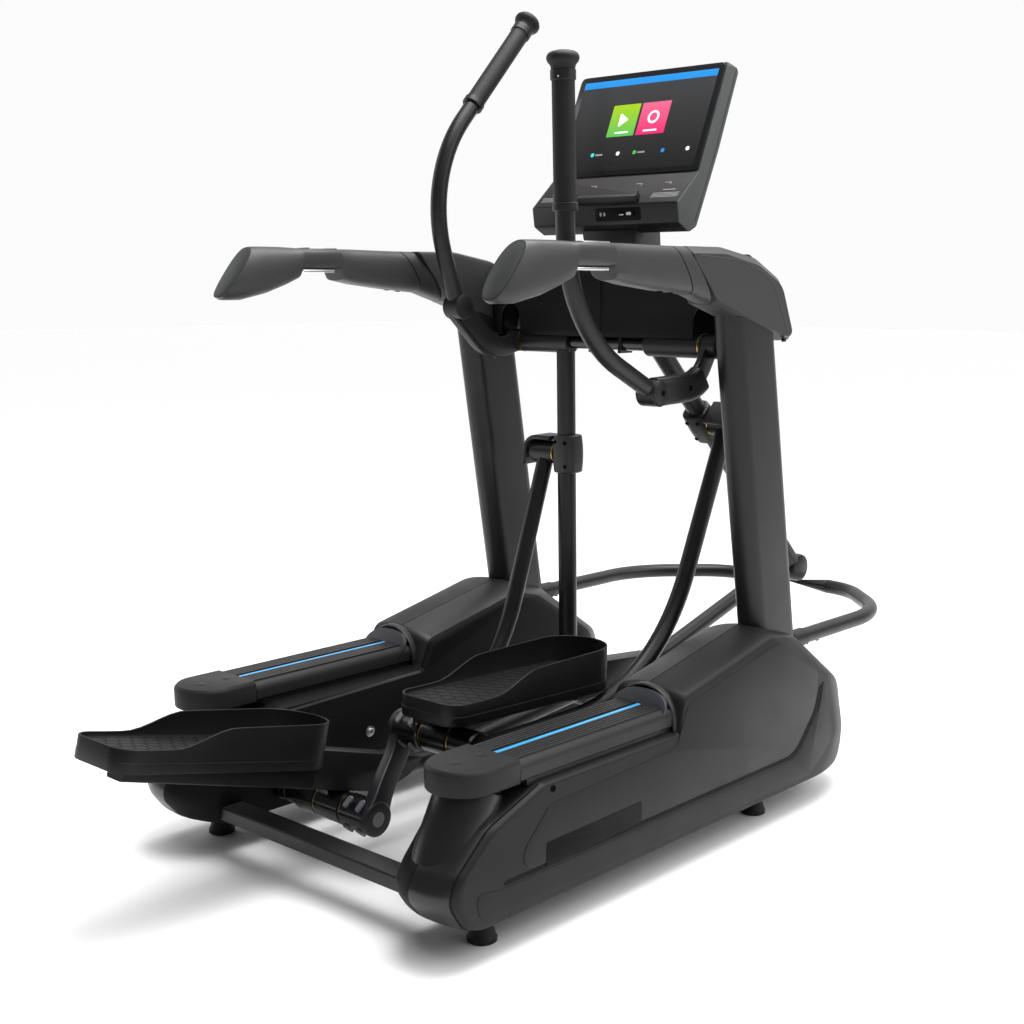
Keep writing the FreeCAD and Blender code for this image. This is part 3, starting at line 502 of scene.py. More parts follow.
def two_tone(piece, look, inside):
    """Give a second material to the faces whose centre is inside a region."""
    piece.data.materials.append(look)
    for face in piece.data.polygons:
        spot = face.center / MM
        if inside(abs(spot[0]), spot[1] - DATUM_Y):
            face.material_index = 1


def nearest(outline, y, z):
    """Index of the outline's point nearest to (y, z)."""
    return min(range(len(outline)), key=lambda index: abs(outline[index][0] - y) + abs(outline[index][1] - z))


def nose_groove():
    """Dark line where the rear cover meets the side cover."""
    share = (NOSE_X - SPLIT_X) / (OUTER_X - SPLIT_X)
    outline = pod_outline(share)
    low = nearest(outline, -45, 60)
    top = nearest(outline, 60, 266)
    path = outline[top:low + 1] if top < low else outline[top:] + outline[:low + 1]
    line = [Vector((NOSE_X, y, z)) for y, z in path]
    return sweep(line, circle(1.5, 8))


def mouth_arch():
    """Flared rim round the cowl's mouth above the step."""
    outer, inner = [], []
    for step in range(25):
        turn = math.pi * step / 24
        outer.append((COLUMN_X - 1 + 71 * math.cos(turn), 266 + 86 * math.sin(turn) ** 0.75))
        inner.append((COLUMN_X - 1 + 63 * math.cos(turn), 266 + 79 * math.sin(turn) ** 0.75))
    ring = outer + list(reversed(inner))
    return solid(ring, 457, 476, "y")


def mouth_insert():
    """Half-moon under the arch, sloping forward as it rises."""
    foot_y, foot_z = 430, 306
    turns = [math.pi * step / 24 for step in range(25)]
    arch = [(63 * math.cos(turn), foot_z + 38 * math.sin(turn) ** 0.75) for turn in turns]
    rings = []
    for back in (0, 8):
        rings.append([(COLUMN_X - 1 + x, foot_y + (z - foot_z) * 0.7 + back, z) for x, z in arch])
    return skin(rings)


def pods():
    both("outer_cover_shell", pod_shell(), POD, "cover_plastic", "outer_cover")
    # Inner halves in the darker copy of the cover plastic: painted shade.
    both("inner_cover_shell", pod_shell(False), INNER, "cover_plastic", "inner_cover")
    for side in SIDES:
        two_tone(bpy.data.objects[side + "_outer_cover_shell"], REAR, lambda x, y: x < NOSE_X and y < 85)
        # The inner shell keeps the darker copy, painted shade, except at the cowl's front, which takes the
        # cover plastic.
        two_tone(bpy.data.objects[side + "_inner_cover_shell"], COVER, lambda x, y: x > 270 and y > 463)
    both("nose_groove", nose_groove(), SEAM_AND_SHADE, "cover_plastic")
    both("mouth_arch", mouth_arch(), COVER, "cover_plastic", edge=4)
    both("mouth_insert", mouth_insert(), INSERT, "grey_plastic", shared=["cowl_inserts"], edge=1)
    pod_trim()


def pod_trim():
    """Raised panel, rim, band and plate on the outer side, and the fittings on the inner wall; the band is a
    dark strip of painted shade in the side groove.
    """
    panel = rounded(PANEL, PANEL_RADII, 8)
    both("side_panel", solid(panel, TRIM_BASE_X, 434.8), POD, "cover_plastic", edge=1.4)
    rim = rounded(SIDE_RIM, SIDE_RIM_RADII, 8)
    both("side_rim", solid(rim, TRIM_BASE_X, 434.6), POD, "cover_plastic", edge=1.2)
    band = rounded(BAND, BAND_RADII, 8)
    # Dark band in the groove between panel and rim: painted shade.
    both("side_band_painted_shade", solid(band, TRIM_BASE_X, 433.9), SEAM_AND_SHADE, "cover_plastic")
    plate = rounded([(86, 122), (348, 130), (348, 170), (86, 166)], 4, 4)
    both("side_plate", solid(plate, 434, 435.2), PLATE, "dark_plastic", edge=0.3)
    # Black screw hole disc: painted shade.
    both("side_screw", hole_disc((434.3, 104, 256.5), (1, 0, 0), 6), HOLE_SHADE, "dark_plastic")
    rail = solid(rounded([(60, 252), (452, 262), (452, 267), (60, 257)], 2), INNER_X - 0.4, INNER_X + 3)
    both("inner_rail", rail, GREY, "grey_plastic", edge=0.3)
    wall_bolt = joined(lathe([(0, 12), (1.5, 12), (1.5, 8)], (INNER_X, 303, 165), (-1, 0, 0), 36),
                       lathe([(1, 8.5), (5, 8.5), (7, 6)], (INNER_X, 303, 165), (-1, 0, 0), 6))
    both("wall_bolt", wall_bolt, STEEL, "machined_steel", edge=0.3)
    # Black hole disc in the cowl: painted shade.
    both("cowl_hole", hole_disc((INNER_X + 3, 500, 300), (-1, 0, 0), 8), HOLE_SHADE, "dark_plastic")


def rear_posts():
    top, foot = Vector((353, -10, 277)), Vector((350, -86, 100))
    length = (foot - top).length
    profile = [(0, 50), (3, 52), (6, 56), (10, 57.5), (length * 0.35, 60), (length * 0.6, 63), (length, 60)]
    both("rear_post", lathe(profile, top, foot - top, 64), REAR, "cover_plastic", shared=["rear_posts"])


# ---------------------------------------------------------------- steps
STEP_REAR = 40.0
STEP_FRONT = 463.0


def step_section():
    """Rounded deck with a ribbed tread each side of the light strip's groove."""
    points = [(291, 283), (291, 300)]
    points += [(291 + 16 * (1 - math.cos(turn)), 300 + 16 * math.sin(turn)) for turn in (0.4, 0.8, 1.2, 1.5)]
    for side in (-1, 1):
        ribs = []
        for number in range(5):
            middle = COLUMN_X + side * (12.5 + number * 8.6)
            ribs += [(middle - 3.7, 316.2), (middle - 3.1, 319), (middle + 3.1, 319), (middle + 3.7, 316.2)]
        points += sorted(ribs)
        if side < 0:
            points += [(349.4, 317), (349.4, 314), (360.6, 314), (360.6, 317)]
    points += [(419 - 16 * (1 - math.cos(turn)), 300 + 16 * math.sin(turn)) for turn in (1.5, 1.2, 0.8, 0.4)]
    points += [(419, 300), (419, 283), (413, 278), (297, 278)]
    return points


def cap_outline(grow=0.0):
    front = [(290 - grow, STEP_REAR - 1.5), (420 + grow, STEP_REAR - 1.5)]
    arc = [(355 + (65 + grow) * math.cos(turn), -32 + (65 + grow) * math.sin(turn))
           for turn in [-math.pi * n / 28 for n in range(29)]]
    return [front[1]] + arc + [front[0]]


def steps():
    deck = solid(step_section(), STEP_REAR, STEP_FRONT, "y")
    both("step_deck", deck, STEP, "step_rubber", "step_tread")
    # Blue strip in the step's groove; its glow is painted light.
    strip = solid(rounded([(351, 313), (359, 313), (359, 317.4), (351, 317.4)], 1, 3),
                  STEP_REAR + 1, STEP_FRONT, "y")
    both("light_strip", strip, STRIP_GLOW, "light_strip", shared=["step_light_strips"])
    under = solid([(60, 268), (462, 268), (462, 279), (60, 279)], 296, 414)
    both("step_shadow_gap", under, DARK, "dark_plastic")
    cap = skin([[(x, y, z) for x, y in cap_outline(-inward)]
                for z, inward in ((277, 2.5), (279.5, 0.6), (312, 0), (315, 0.8), (320.5, 6))])
    both("end_cap", cap, CAP, "cover_plastic", shared=["step_end_caps"], edge=0.8)
    plug = [(0, 9.5), (0.7, 9.5), (0.9, 8.5)]
    plugs = joined(*[lathe(plug, (353, y, 320.2), (0, 0, 1)) for y in (-48, 12)])
    both("cap_plugs", plugs, POD, "cover_plastic", shared=["cover_screws"])


# ---------------------------------------------------------------- columns, hoop, base
COLUMN_LEAN = math.radians(9.7)
COLUMN_FRONT_Y = 908.0      # front edge at the reference height
COLUMN_REF_Z = 582.0
COLUMN_DEPTH = 150.0
COLUMN_FOOT_Z = 130.0
COLUMN_TOP_Z = 1085.0
HOOP_TUBE = 17.0


def column():
    """Flat-oval post leaning back as it rises."""
    half, straight = 32.0, 43.0
    section = []
    for end in range(2):
        offset = -straight if end else straight
        for step in range(17):
            turn = math.pi * step / 16 + math.pi * end
            section.append((half * math.cos(turn), offset + half * math.sin(turn)))
    centre = COLUMN_FRONT_Y - COLUMN_DEPTH / 2 / math.cos(COLUMN_LEAN)
    rings = []
    for z in (COLUMN_FOOT_Z, COLUMN_TOP_Z):
        y = centre - (z - COLUMN_REF_Z) * math.tan(COLUMN_LEAN)
        rings.append([(COLUMN_X + a, y + b / math.cos(COLUMN_LEAN), z) for a, b in section])
    return skin(rings)


def hoop():
    plan = [(HOOP_X, 1000), (HOOP_X, 1330), (185, 1500)]
    path = [(x, y, HOOP_Z) for x, y in plan] + [(-x, y, HOOP_Z) for x, y in reversed(plan)]
    return tube(path, [240, 150, 150, 240], HOOP_TUBE)


def base():
    both("column_post", column(), PAINT, "frame_paint", "column")
    on_frame("hoop_tube", hoop(), PAINT, "frame_paint", "front_hoop")
    sleeve = [(0, 18.5), (1, 19.5), (50, 19.5), (51.5, 18.5)]
    both("hoop_sleeve", lathe(sleeve, (HOOP_X, 948, HOOP_Z), (0, 1, 0)), DARK, "frame_paint")
    bolt = [(0, 5), (4, 5), (5.5, 3.5)]
    bolts = joined(*[lathe(bolt, (HOOP_X, y, HOOP_Z - 15), (0, 0, -1), 6) for y in (1020, 1062)])
    both("hoop_bolt", bolts, BLACK, "machined_steel", edge=0.4)
    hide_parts("hoop_bolts")
    bar = solid(rounded([(-79, 72), (-27, 72), (-27, 100), (-79, 100)], 4), -270, 270)
    on_frame("rear_bar", bar, PAINT, "frame_paint", "base_frame")
    rail = solid(rounded([(330, 62), (380, 62), (380, 110), (330, 110)], 5), -20, 900, "y")
    both("base_rail", rail, PAINT, "frame_paint")
    for name, y, x in (("rear", 0.0, 366.0), ("front", 824.0, 361.0)):
        foot = [(0, 24), (1.5, 26.2), (8, 26.4), (11, 24.5), (36, 17), (40, 16), (58, 16), (62, 12)]
        both(name + "_foot", lathe(foot, (x, y, 0), (0, 0, 1)), RUBBER, "black_rubber")
        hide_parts("levelling_feet")


# ---------------------------------------------------------------- top beam covers and hand holds
def housing():
    outline = rounded([(752, 977), (745.5, 1120), (768, 1154), (830, 1156), (884, 1100), (889, 977)],
                      [22, 60, 40, 30, 40, 12], 10)
    return solid(outline, -319, 319)


def housing_arch(side):
    arch = [(side * HANDLE_X + 29 * math.cos(t), 1020 + 36 * math.sin(t))
            for t in [math.pi * n / 16 for n in range(17)]]
    arch += [(side * HANDLE_X - 29, 960), (side * HANDLE_X + 29, 960)]
    return solid(arch, 730, 775, "y")


def top_housing():
    piece = build("beam_housing", housing(), in_frame())
    inside = rounded([(757, 960), (751, 1118), (771, 1149), (828, 1151), (878, 1098), (884, 960)], 20, 6)
    boolean(piece, solid(inside, -330, 330), in_frame())
    for side in (-1, 1):
        boolean(piece, housing_arch(side), in_frame())
    bevel(piece, 2.5, 3, 50)
    # The housing takes the darker copy of the cover plastic: painted shade.
    dress(piece, INNER, "frame", "cover_plastic", "crossbeam_housing")
    crease = solid([(744.9, 985), (744.9, 1110), (746.4, 1110), (746.4, 985)], -0.6, 0.6)
    on_frame("housing_crease", crease, SEAM_AND_SHADE, "cover_plastic")


RAIL_STATIONS = [
    # top (y, z), bottom (y, z), half width, corner fullness
    ((99, 1168), (24, 1071), 28, 2.3),
    ((104, 1169.5), (34, 1066), 31, 2.3),
    ((130, 1170), (72, 1066), 33, 2.4),
    ((170, 1170), (130, 1078), 33, 2.5),
    ((198, 1169), (178, 1094), 33, 2.7),
    ((212, 1168), (206, 1106), 33, 3.0),
    ((216, 1168), (214, 1126), 33, 3.6),
    ((260, 1168), (260, 1126), 33, 3.6),
    ((310, 1168), (311, 1126), 33, 3.6),
    ((314, 1168), (320, 1104), 33, 3.0),
    ((350, 1168), (362, 1096), 33, 2.7),
    ((420, 1167), (450, 1086), 33, 2.6),
    ((486, 1166), (545, 1078), 33.5, 2.6),
]
COLLAR_STATIONS = [
    ((489, 1166), (549, 1077.5), 33.5, 2.6),
    ((524, 1166), (607, 1060), 34, 2.6),
]


def rail_ring(top, bottom, half_width, fullness, count=44):
    """Rounded section between a top and a bottom point."""
    ring = []
    for index in range(count):
        turn = math.tau * index / count
        across, up = math.cos(turn), math.sin(turn)
        squarer = fullness + (1.5 if across > 0 else 0)
        x = 359 + half_width * math.copysign(abs(across) ** (2 / squarer), across)
        share = (1 + math.copysign(abs(up) ** (2 / fullness), up)) / 2
        ring.append((x, bottom[0] + (top[0] - bottom[0]) * share, bottom[1] + (top[1] - bottom[1]) * share))
    return ring


def handrails():
    grip_skin = skin([rail_ring(*station) for station in RAIL_STATIONS])
    collar = skin([rail_ring(*station) for station in COLLAR_STATIONS])
    both("rail_grip", grip_skin, RAIL_SKIN, "cover_plastic", "handrail")
    both("rail_collar", collar, RAIL_SKIN, "cover_plastic")
    end = [Vector(point) + Vector((0, -1.2, 0.9)) for point in rail_ring((98, 1165), (26, 1073), 25, 2.3)]
    inner = [point + Vector((0, 4, -3)) for point in end]
    both("rail_end", skin([end, inner]), ENDS, "grey_plastic", edge=0.6)
    upper = solid(rounded([(338, 232), (380, 232), (380, 312), (338, 312)], 8), 1166, 1169.6, "z")
    lower = solid(rounded([(334, 212), (385, 212), (385, 304), (334, 304)], 6), 1120.5, 1125.5, "z")
    both("pulse_upper", upper, CONTACT, "contact_steel", edge=0.6)
    both("pulse_lower", lower, CONTACT, "contact_steel", edge=0.8)
    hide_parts("pulse_contacts")
    places = [(366, 468, 1084.2), (366, 500, 1081.2)]
    screws = joined(*[hole_disc(place, (0, -0.15, -1), 5.5, 3) for place in places])
    # Black screw hole discs: painted shade.
    both("rail_screws", screws, HOLE_SHADE, "dark_plastic")


SHOULDER = [(528, 1166), (612, 1059), (850, 985), (895, 986), (852, 1103), (758, 1147), (640, 1166)]


def shoulder():
    """Cover over the column's head with a chamfer that makes its crease."""
    rings = []
    inward = [(6, -13), (2, 8), (-4, 10), (-14, 8), (-16, -9), (-8, -14), (0, -13)]
    for x, share in ((322, 1.0), (326, 0.25), (332, 0), (376, 0), (384, 0.55), (391.5, 1.0)):
        corners = [(y + dy * share, z + dz * share) for (y, z), (dy, dz) in zip(SHOULDER, inward)]
        rings.append([(x, y, z) for y, z in rounded(corners, [3, 10, 20, 10, 50, 90, 120], 8)])
    return skin(rings)


def shoulders():
    both("shoulder_shell", shoulder(), RAIL_SKIN, "cover_plastic", "shoulder_cover")
    # Light grey strip along the shoulder's crease: a painted highlight.
    line = route([(391.6, 560, 1150), (391.6, 700, 1143), (391.6, 800, 1108), (391.6, 862, 1000)], [300, 90])
    section = [(-0.5, -0.9), (0.5, -0.9), (0.5, 0.9), (-0.5, 0.9)]
    both("shoulder_crease_highlight", sweep(line, section), GREY, "cover_plastic")
    nub = solid([(846, 983), (856, 983), (856, 991), (846, 991)], 385, 391)
    both("shoulder_clip", nub, DARK, "cover_plastic", edge=1)


# ---------------------------------------------------------------- console
CONSOLE = [(916, 1552), (952, 1536), (884, 1368), (812, 1213), (788, 1202), (754, 1220), (748, 1260),
           (818, 1323)]
CONSOLE_HALF = 196.8
FACE_BASE = Vector((0, 818, 1323))
FACE_UP = Vector((0, 98, 229)).normalized()
FACE_OUT = Vector((0, -FACE_UP.z, FACE_UP.y))
KEY_BASE = Vector((0, 748, 1260))
KEY_UP = Vector((0, 70, 63)).normalized()
KEY_OUT = Vector((0, -KEY_UP.z, KEY_UP.y))


def on_face(outline, low, high, base=FACE_BASE, up=FACE_UP, out=FACE_OUT):
    """Plate on the console's face from an outline of (x, distance up the face) points."""
    rings = []
    for lift in (low, high):
        rings.append([base + Vector((x, 0, 0)) + up * run + out * lift for x, run in outline])
    return skin(rings)


def on_keys(outline, low, high):
    return on_face(outline, low, high, KEY_BASE, KEY_UP, KEY_OUT)


def rectangle(x_low, x_high, low, high, radius=2.0):
    return rounded([(x_low, low), (x_high, low), (x_high, high), (x_low, high)], radius, 4)


def console_body():
    outline = rounded(CONSOLE, [5, 10, 60, 18, 6, 5, 5, 12], 5)
    front = rounded([(-197, 1190), (197, 1190), (197, 1552.5), (-197, 1552.5)], [14, 14, 15, 15], 8)
    body = build("console_body", solid(outline, -CONSOLE_HALF + 3.5, CONSOLE_HALF - 3.5), in_frame())
    boolean(body, solid(front, 700, 1000, "y"), in_frame(), "INTERSECT")
    bevel(body, 1.2, 2, 50)
    dress(body, DARK, "frame", "dark_plastic")
    for side, sign in reversed(SIDES.items()):
        low, high = sorted((sign * (CONSOLE_HALF - 3.3), sign * CONSOLE_HALF))
        panel = build(side + "_console_side", solid(outline, low, high), in_frame())
        boolean(panel, solid(front, 700, 1000, "y"), in_frame(), "INTERSECT")
        bevel(panel, 1.0, 3, 50)
        dress(panel, GREY, "frame", "grey_plastic", "console_shell")
        x = sign * (CONSOLE_HALF + 0.05)
        seam = route([(x, 944, 1540), (x, 876, 1372), (x, 806, 1222)], [400])
        section = [(-0.3, -0.5), (0.3, -0.5), (0.3, 0.5), (-0.3, 0.5)]
        on_frame(side + "_console_seam", sweep(seam, section), SEAM_AND_SHADE, "dark_plastic")
    back = rounded([(953.5, 1532), (885.5, 1366), (814, 1216), (810, 1222), (878, 1372), (944, 1536)],
                   [2, 60, 4, 2, 60, 2], 5)
    on_frame("console_back", solid(back, -188, 188), GREY, "grey_plastic", edge=1.5)


def show(name, outline, low, high, look, *nodes, edge=0.0):
    """Plate of the screen, between two heights above the console's face."""
    return on_frame(name, on_face(outline, low, high), look, "screen_glass", *nodes, edge=edge)


def screen():
    show("screen_bezel", rectangle(-193, 193, 3, 246, 13), 0.1, 2.4, GLASS, "console_fascia", edge=0.6)
    show("screen_picture", rectangle(-179, 179, 14, 232, 1), 2.2, 2.7, PICTURE, "display_screen")
    show("screen_bar", rectangle(-179, 179, 216, 232, 1), 2.6, 2.9, BAR)
    show("tile_green", rectangle(-77, -3, 94, 169, 1), 2.6, 2.9, GREEN)
    show("tile_pink", rectangle(3, 78, 94, 169, 1), 2.6, 2.9, PINK)
    arrow = rounded([(-52, 116), (-27, 133), (-52, 150)], 2, 4)
    show("tile_arrow", arrow, 2.8, 3.1, LIT)
    ring = circle(15, 40)
    hole = circle(10, 40)
    centre = FACE_BASE + Vector((40, 0, 0)) + FACE_UP * 134
    rings = []
    for loop, lift in ((hole, 2.8), (ring, 2.8), (ring, 3.1), (hole, 3.1), (hole, 2.8)):
        rings.append([centre + Vector((a, 0, 0)) + FACE_UP * b + FACE_OUT * lift for a, b in loop])
    on_frame("tile_ring", skin(rings, ends=False), LIT, "screen_glass")
    bars = [on_face(rectangle(x, x + 36, 101, 105, 1), 2.8, 3.0) for x in (-56, 21)]
    on_frame("tile_captions", joined(*bars), LIT, "screen_glass")
    dots = [(-101, TEAL), (-31, LIT), (14, GREEN), (89, BAR), (153, LIT)]
    for index, (x, look) in enumerate(dots):
        on_frame("screen_dot_%d" % index, on_face(rectangle(x - 4.5, x + 4.5, 49, 58, 3.5), 2.6, 2.9), look,
                 "screen_glass")
    pills = [on_face(rectangle(x + 8, x + 28, 51, 55, 1.5), 2.6, 2.9) for x in (-101, 14)]
    on_frame("screen_pills", joined(*pills), PRINT, "screen_glass")


def keypad():
    on_frame("keypad_film", on_keys(rectangle(-192, 192, 2, 93, 3), 0.1, 0.9), KEYPAD, "keypad",
             "keypad_overlay", edge=0.3)
    ledge = [(-96, 4), (-84, 30), (84, 30), (96, 4)]
    lip = on_keys(rounded(ledge, [3, 8, 8, 3], 4), 0.8, 17)
    piece = build("book_ledge", lip, in_frame())
    trough = on_keys([(-88, 11), (-80, 40), (80, 40), (88, 11)], 5, 24)
    boolean(piece, trough, in_frame())
    bevel(piece, 1.4, 2, 40)
    dress(piece, DARK, "frame", "dark_plastic", "reading_ledge")
    strokes = []
    for x in (-150, 150):
        strokes += [rectangle(x - 34, x + 34, run, run + 1.2, 0.3) for run in (18, 22, 26, 30)]
        strokes.append(rectangle(x - 14, x + 18, 40, 42, 0.6))
    for x in (-60, 62, 138):
        strokes.append(rectangle(x - 9, x + 7, 64, 65.4, 0.5))
        strokes.append(rectangle(x + 6, x + 7.4, 58, 65, 0.5))
    marks = joined(*[on_keys(stroke, 0.8, 1.0) for stroke in strokes])
    on_frame("keypad_marks", marks, PRINT, "keypad")


def port_plate(outline, low, high):
    """Plate on the console's rear lip, lying square to Y."""
    return skin([[(x, 748 + (1260 - z) * 0.15 - lift, z) for x, z in outline] for lift in (low, high)])


def ports():
    on_frame("port_plate", port_plate(rectangle(-20, 100, 1227, 1254, 3), -1, 0.7), PLATE, "dark_plastic",
             "port_panel", edge=0.4)
    sockets = [port_plate(rectangle(42, 58, 1236, 1246, 1.5), 0.5, 1.0),
               port_plate(rectangle(80, 88, 1236, 1246, 4), 0.5, 1.0)]
    # Black socket openings: painted shade.
    on_frame("port_sockets", joined(*sockets), HOLE_SHADE, "dark_plastic")
    metal = [port_plate(rectangle(44, 56, 1238, 1240.5, 0.5), 0.8, 1.3),
             port_plate(rectangle(63, 76, 1238, 1244, 2), 0.5, 1.2)]
    on_frame("port_metal", joined(*metal), STEEL, "machined_steel")
    marks = [port_plate(rectangle(x, x + 5, 1237, 1245, 2.4), 0.6, 0.9) for x in (-8, 2)]
    on_frame("port_marks", joined(*marks), PRINT, "dark_plastic")


def neck():
    front = solid([(-62, 1150), (62, 1150), (74, 1210), (-74, 1210)], 770, 806, "y")
    on_frame("neck_front", front, DARK, "dark_plastic", "console_neck", edge=3)
    side = solid(rounded([(800, 1140), (872, 1140), (866, 1212), (806, 1206)], 4), -64, 64)
    on_frame("neck_side", side, GREY, "grey_plastic", edge=1.5)


# ---------------------------------------------------------------- crank
def crank_web():
    """Arm between the two barrels, flaring into each and leaning across from one to the other."""
    right, left = PINS["right"], PINS["left"]
    along = (left - right).normalized()
    flank = Vector((-along[1], along[0]))
    rings = []
    for step in range(33):
        share = step / 32
        spot = right.lerp(left, share) + flank * (7 * math.sin(math.tau * share))
        ease = share * share * (3 - 2 * share)
        half = 22 + 11 * abs(2 * share - 1) ** 3
        deep = 12.5
        outline = rounded([(-deep, -half), (deep, -half), (deep, half), (-deep, half)], 4, 3)
        across = -21 + 42 * ease
        rings.append([(across + a, spot[0] + flank[0] * b, spot[1] + flank[1] * b) for a, b in outline])
    return skin(rings)


def crank_barrel(side):
    sign = SIDES[side]
    y, z = PINS[side]
    low, high = sorted((sign * -33, sign * 45))
    return bar_x(y, z, BARREL_RADIUS, low, high, 2.5)


def crank():
    make("crank_arm", crank_web(), in_frame(), CAST, "crank", "black_steel", "crank_web", edge=1.2)
    for side, sign in SIDES.items():
        add = maker(side + "_", in_frame(), "crank")
        y, z = PINS[side]
        add("barrel", crank_barrel(side), BLACK, "black_steel")
        low, high = sorted((sign * -33.4, sign * 249))
        add("crank_pin", bar_x(y, z, PIN_RADIUS, low, high, 1), STEEL, "black_steel", "crank_pins")
        eye_profile = [(0, 31), (2, 34), (12, 34), (14, 32), (14.8, 30), (14.8, 16)]
        eye = lathe(eye_profile, (sign * -19, y, z), (-sign, 0, 0))
        add("barrel_eye", eye, CAST, "black_steel")
        face = lathe([(0, 14.5), (0.8, 14.5), (1.1, 13.8)], (sign * -33.2, y, z), (-sign, 0, 0))
        add("pin_face", face, PIN_END, "light_steel")
        add("clamp_bolts", bolts(side, sign), BOLT, "light_steel", "clamp_bolts")
        ring = [(0, 21), (0, 29), (3, 29), (3, 21)]
        washers = joined(*[lathe(ring, (sign * x, y, z), (sign, 0, 0)) for x in (46, 121.3)])
        add("thrust_washer", washers, BRASS, "brass", "thrust_washers")


def bolts(side, sign):
    """Clamp bolts in slotted lugs, two above and two below on the barrel's rear."""
    centre = PINS[side]
    lugs = []
    for x in (-8, 27):
        for lean in (-1, 1):
            turn = math.radians(50) * lean
            out = Vector((-math.cos(turn), math.sin(turn)))
            tangent = Vector((-out[1], out[0]))
            base = centre + out * 29
            rings = []
            for lift, grow in ((0, 1), (6.5, 1), (8, 0.86)):
                wide, long = 6 * grow, 13 * grow
                outline = rounded([(-wide, -long), (wide, -long), (wide, long), (-wide, long)], 5.5 * grow, 5)
                ring = []
                for a, b in outline:
                    spot = base + out * lift + tangent * b
                    ring.append((sign * (x + a), spot[0], spot[1]))
                rings.append(ring)
            lugs.append(skin(rings))
    return joined(*lugs)


# ---------------------------------------------------------------- connecting rods and rollers
ROD_CHORD = math.radians(35.35)


def rods():
    for side, sign in SIDES.items():
        state = STATE[side]
        add = maker(side + "_", state["rod"], side + "_connecting_rod")
        joint = (state["rod_length"] * math.cos(ROD_CHORD), state["rod_length"] * math.sin(ROD_CHORD))
        corner = joint[0] - joint[1] / math.tan(math.radians(66))
        path = [(ROD_X, 0, 0), (ROD_X, corner, 0), (ROD_X, joint[0], joint[1])]
        add("rod_tube", tube(path, [400], ROD_TUBE), PAINT, "frame_paint", side + "_connecting_rod")
        hub = lathe([(0, 27), (2, 30.5), (52, 30.5), (56, 27), (92, 25), (96, 24), (108, 24), (110, 21)],
                    (125, 0, 0), (1, 0, 0))
        add("rod_hub", hub, BLACK, "frame_paint")
        band = lathe([(0, 24.6), (0, 25.4), (2.4, 25.4), (2.4, 24.6)], (213, 0, 0), (1, 0, 0))
        add("rod_band", band, BOLT, "light_steel")
        head = lathe([(0, 22), (2, 26), (64, 26), (68, 22)], (150, joint[0], joint[1]), (1, 0, 0))
        add("rod_head", head, PAINT, "frame_paint")
        washer = lathe([(0, 20), (0, 26.6), (2, 26.6), (2, 20)], (147.5, joint[0], joint[1]), (1, 0, 0))
        add("rod_washer", washer, BRASS, "brass")
        sleeve = lathe([(0, 28), (2, 31.6), (69, 31.6), (71, 28)], (50, 0, 0), (1, 0, 0))
        where = at(state["pin"], 0, sign)
        make(side + "_roller_sleeve", sleeve, where, BLACK, side + "_roller", "machined_steel",
             side + "_roller")


# ---------------------------------------------------------------- foot links
def foot_beam():
    low, high = BEAM_X - BEAM_HALF, BEAM_X + BEAM_HALF
    section = rounded([(low, -BEAM_HALF), (high, -BEAM_HALF), (high, BEAM_HALF), (low, BEAM_HALF)], 4, 3)
    return solid(section, -BEAM_TAIL, -620, "y")


def foot_bracket():
    outline = [(-774, -23), (-640, -23), (-600, -20), (-560, -8), (-524, 14), (-502, 34), (-500, 52),
               (-774, 52)]
    return solid(rounded(outline, [2, 40, 60, 60, 60, 20, 6, 4], 5), BEAM_X - 23.4, BEAM_X + 23.4)


def link_tube():
    """Tube that lies on the beam, then rises to the knuckle."""
    lift, rise = 34.6, math.radians(21.3)
    bend_y = -(BEAM_DROP - lift) / math.tan(rise)
    return tube([(BEAM_X, -775, lift), (BEAM_X, bend_y, lift), (BEAM_X, 0, BEAM_DROP)], [260], LINK_TUBE)


def foot_links():
    for side in SIDES:
        where, body = STATE[side]["link"], side + "_foot_link"
        add = maker(side + "_", where, body)
        add("foot_beam", foot_beam(), RIM, "frame_paint", side + "_foot_link")
        add("foot_bracket", foot_bracket(), DARK, "frame_paint", edge=2)
        add("link_tube", link_tube(), PAINT, "frame_paint")
        eye = lathe([(0, 24), (3, 31), (10, 33), (33, 33), (40, 31), (42.5, 26)], (61, 0, BEAM_DROP),
                    (1, 0, 0))
        add("link_eye", eye, PAINT, "frame_paint")
        tray(side, where, body)


TRAY_LENGTH = 484.0
TRAY_REAR = 1218.0
TRAY_HALF = 80.0
TRAY_TILT = math.radians(3.3)
TRAY_FLOOR = 27.0
TRAY_HEEL = 38.0           # radius of the heel's corners
RIM_LOW = 37.0
RIM_RISE = 32.0
RIM_TOE = 14.0
TILE_REACH = 15.5
TILE_FILL = 0.92


def tray_outline(shrink, count=26):
    """Foot outline: rounded heel corners, straight sides and a round toe, drawn in by shrink."""
    half, rear, front = TRAY_HALF - shrink, shrink, TRAY_LENGTH - shrink
    heel = TRAY_HEEL - shrink * 0.6
    points = []
    for step in range(count + 1):
        turn = math.pi * step / count
        points.append((TRAY_X + half * math.cos(turn), front - half + half * math.sin(turn)))
    sides = (430, 380, 330, 290, 260, 240, 220, 200, 180, 160, 140, 120, 100, 70)
    points += [(TRAY_X - half, y) for y in sides if y < front - half - 1]
    for step in range(9):
        turn = math.pi + math.pi / 2 * step / 8
        points.append((TRAY_X - half + heel + heel * math.cos(turn), rear + heel + heel * math.sin(turn)))
    for step in range(9):
        turn = 1.5 * math.pi + math.pi / 2 * step / 8
        points.append((TRAY_X + half - heel + heel * math.cos(turn), rear + heel + heel * math.sin(turn)))
    points += [(TRAY_X + half, y) for y in reversed(sides) if y < front - half - 1]
    return points


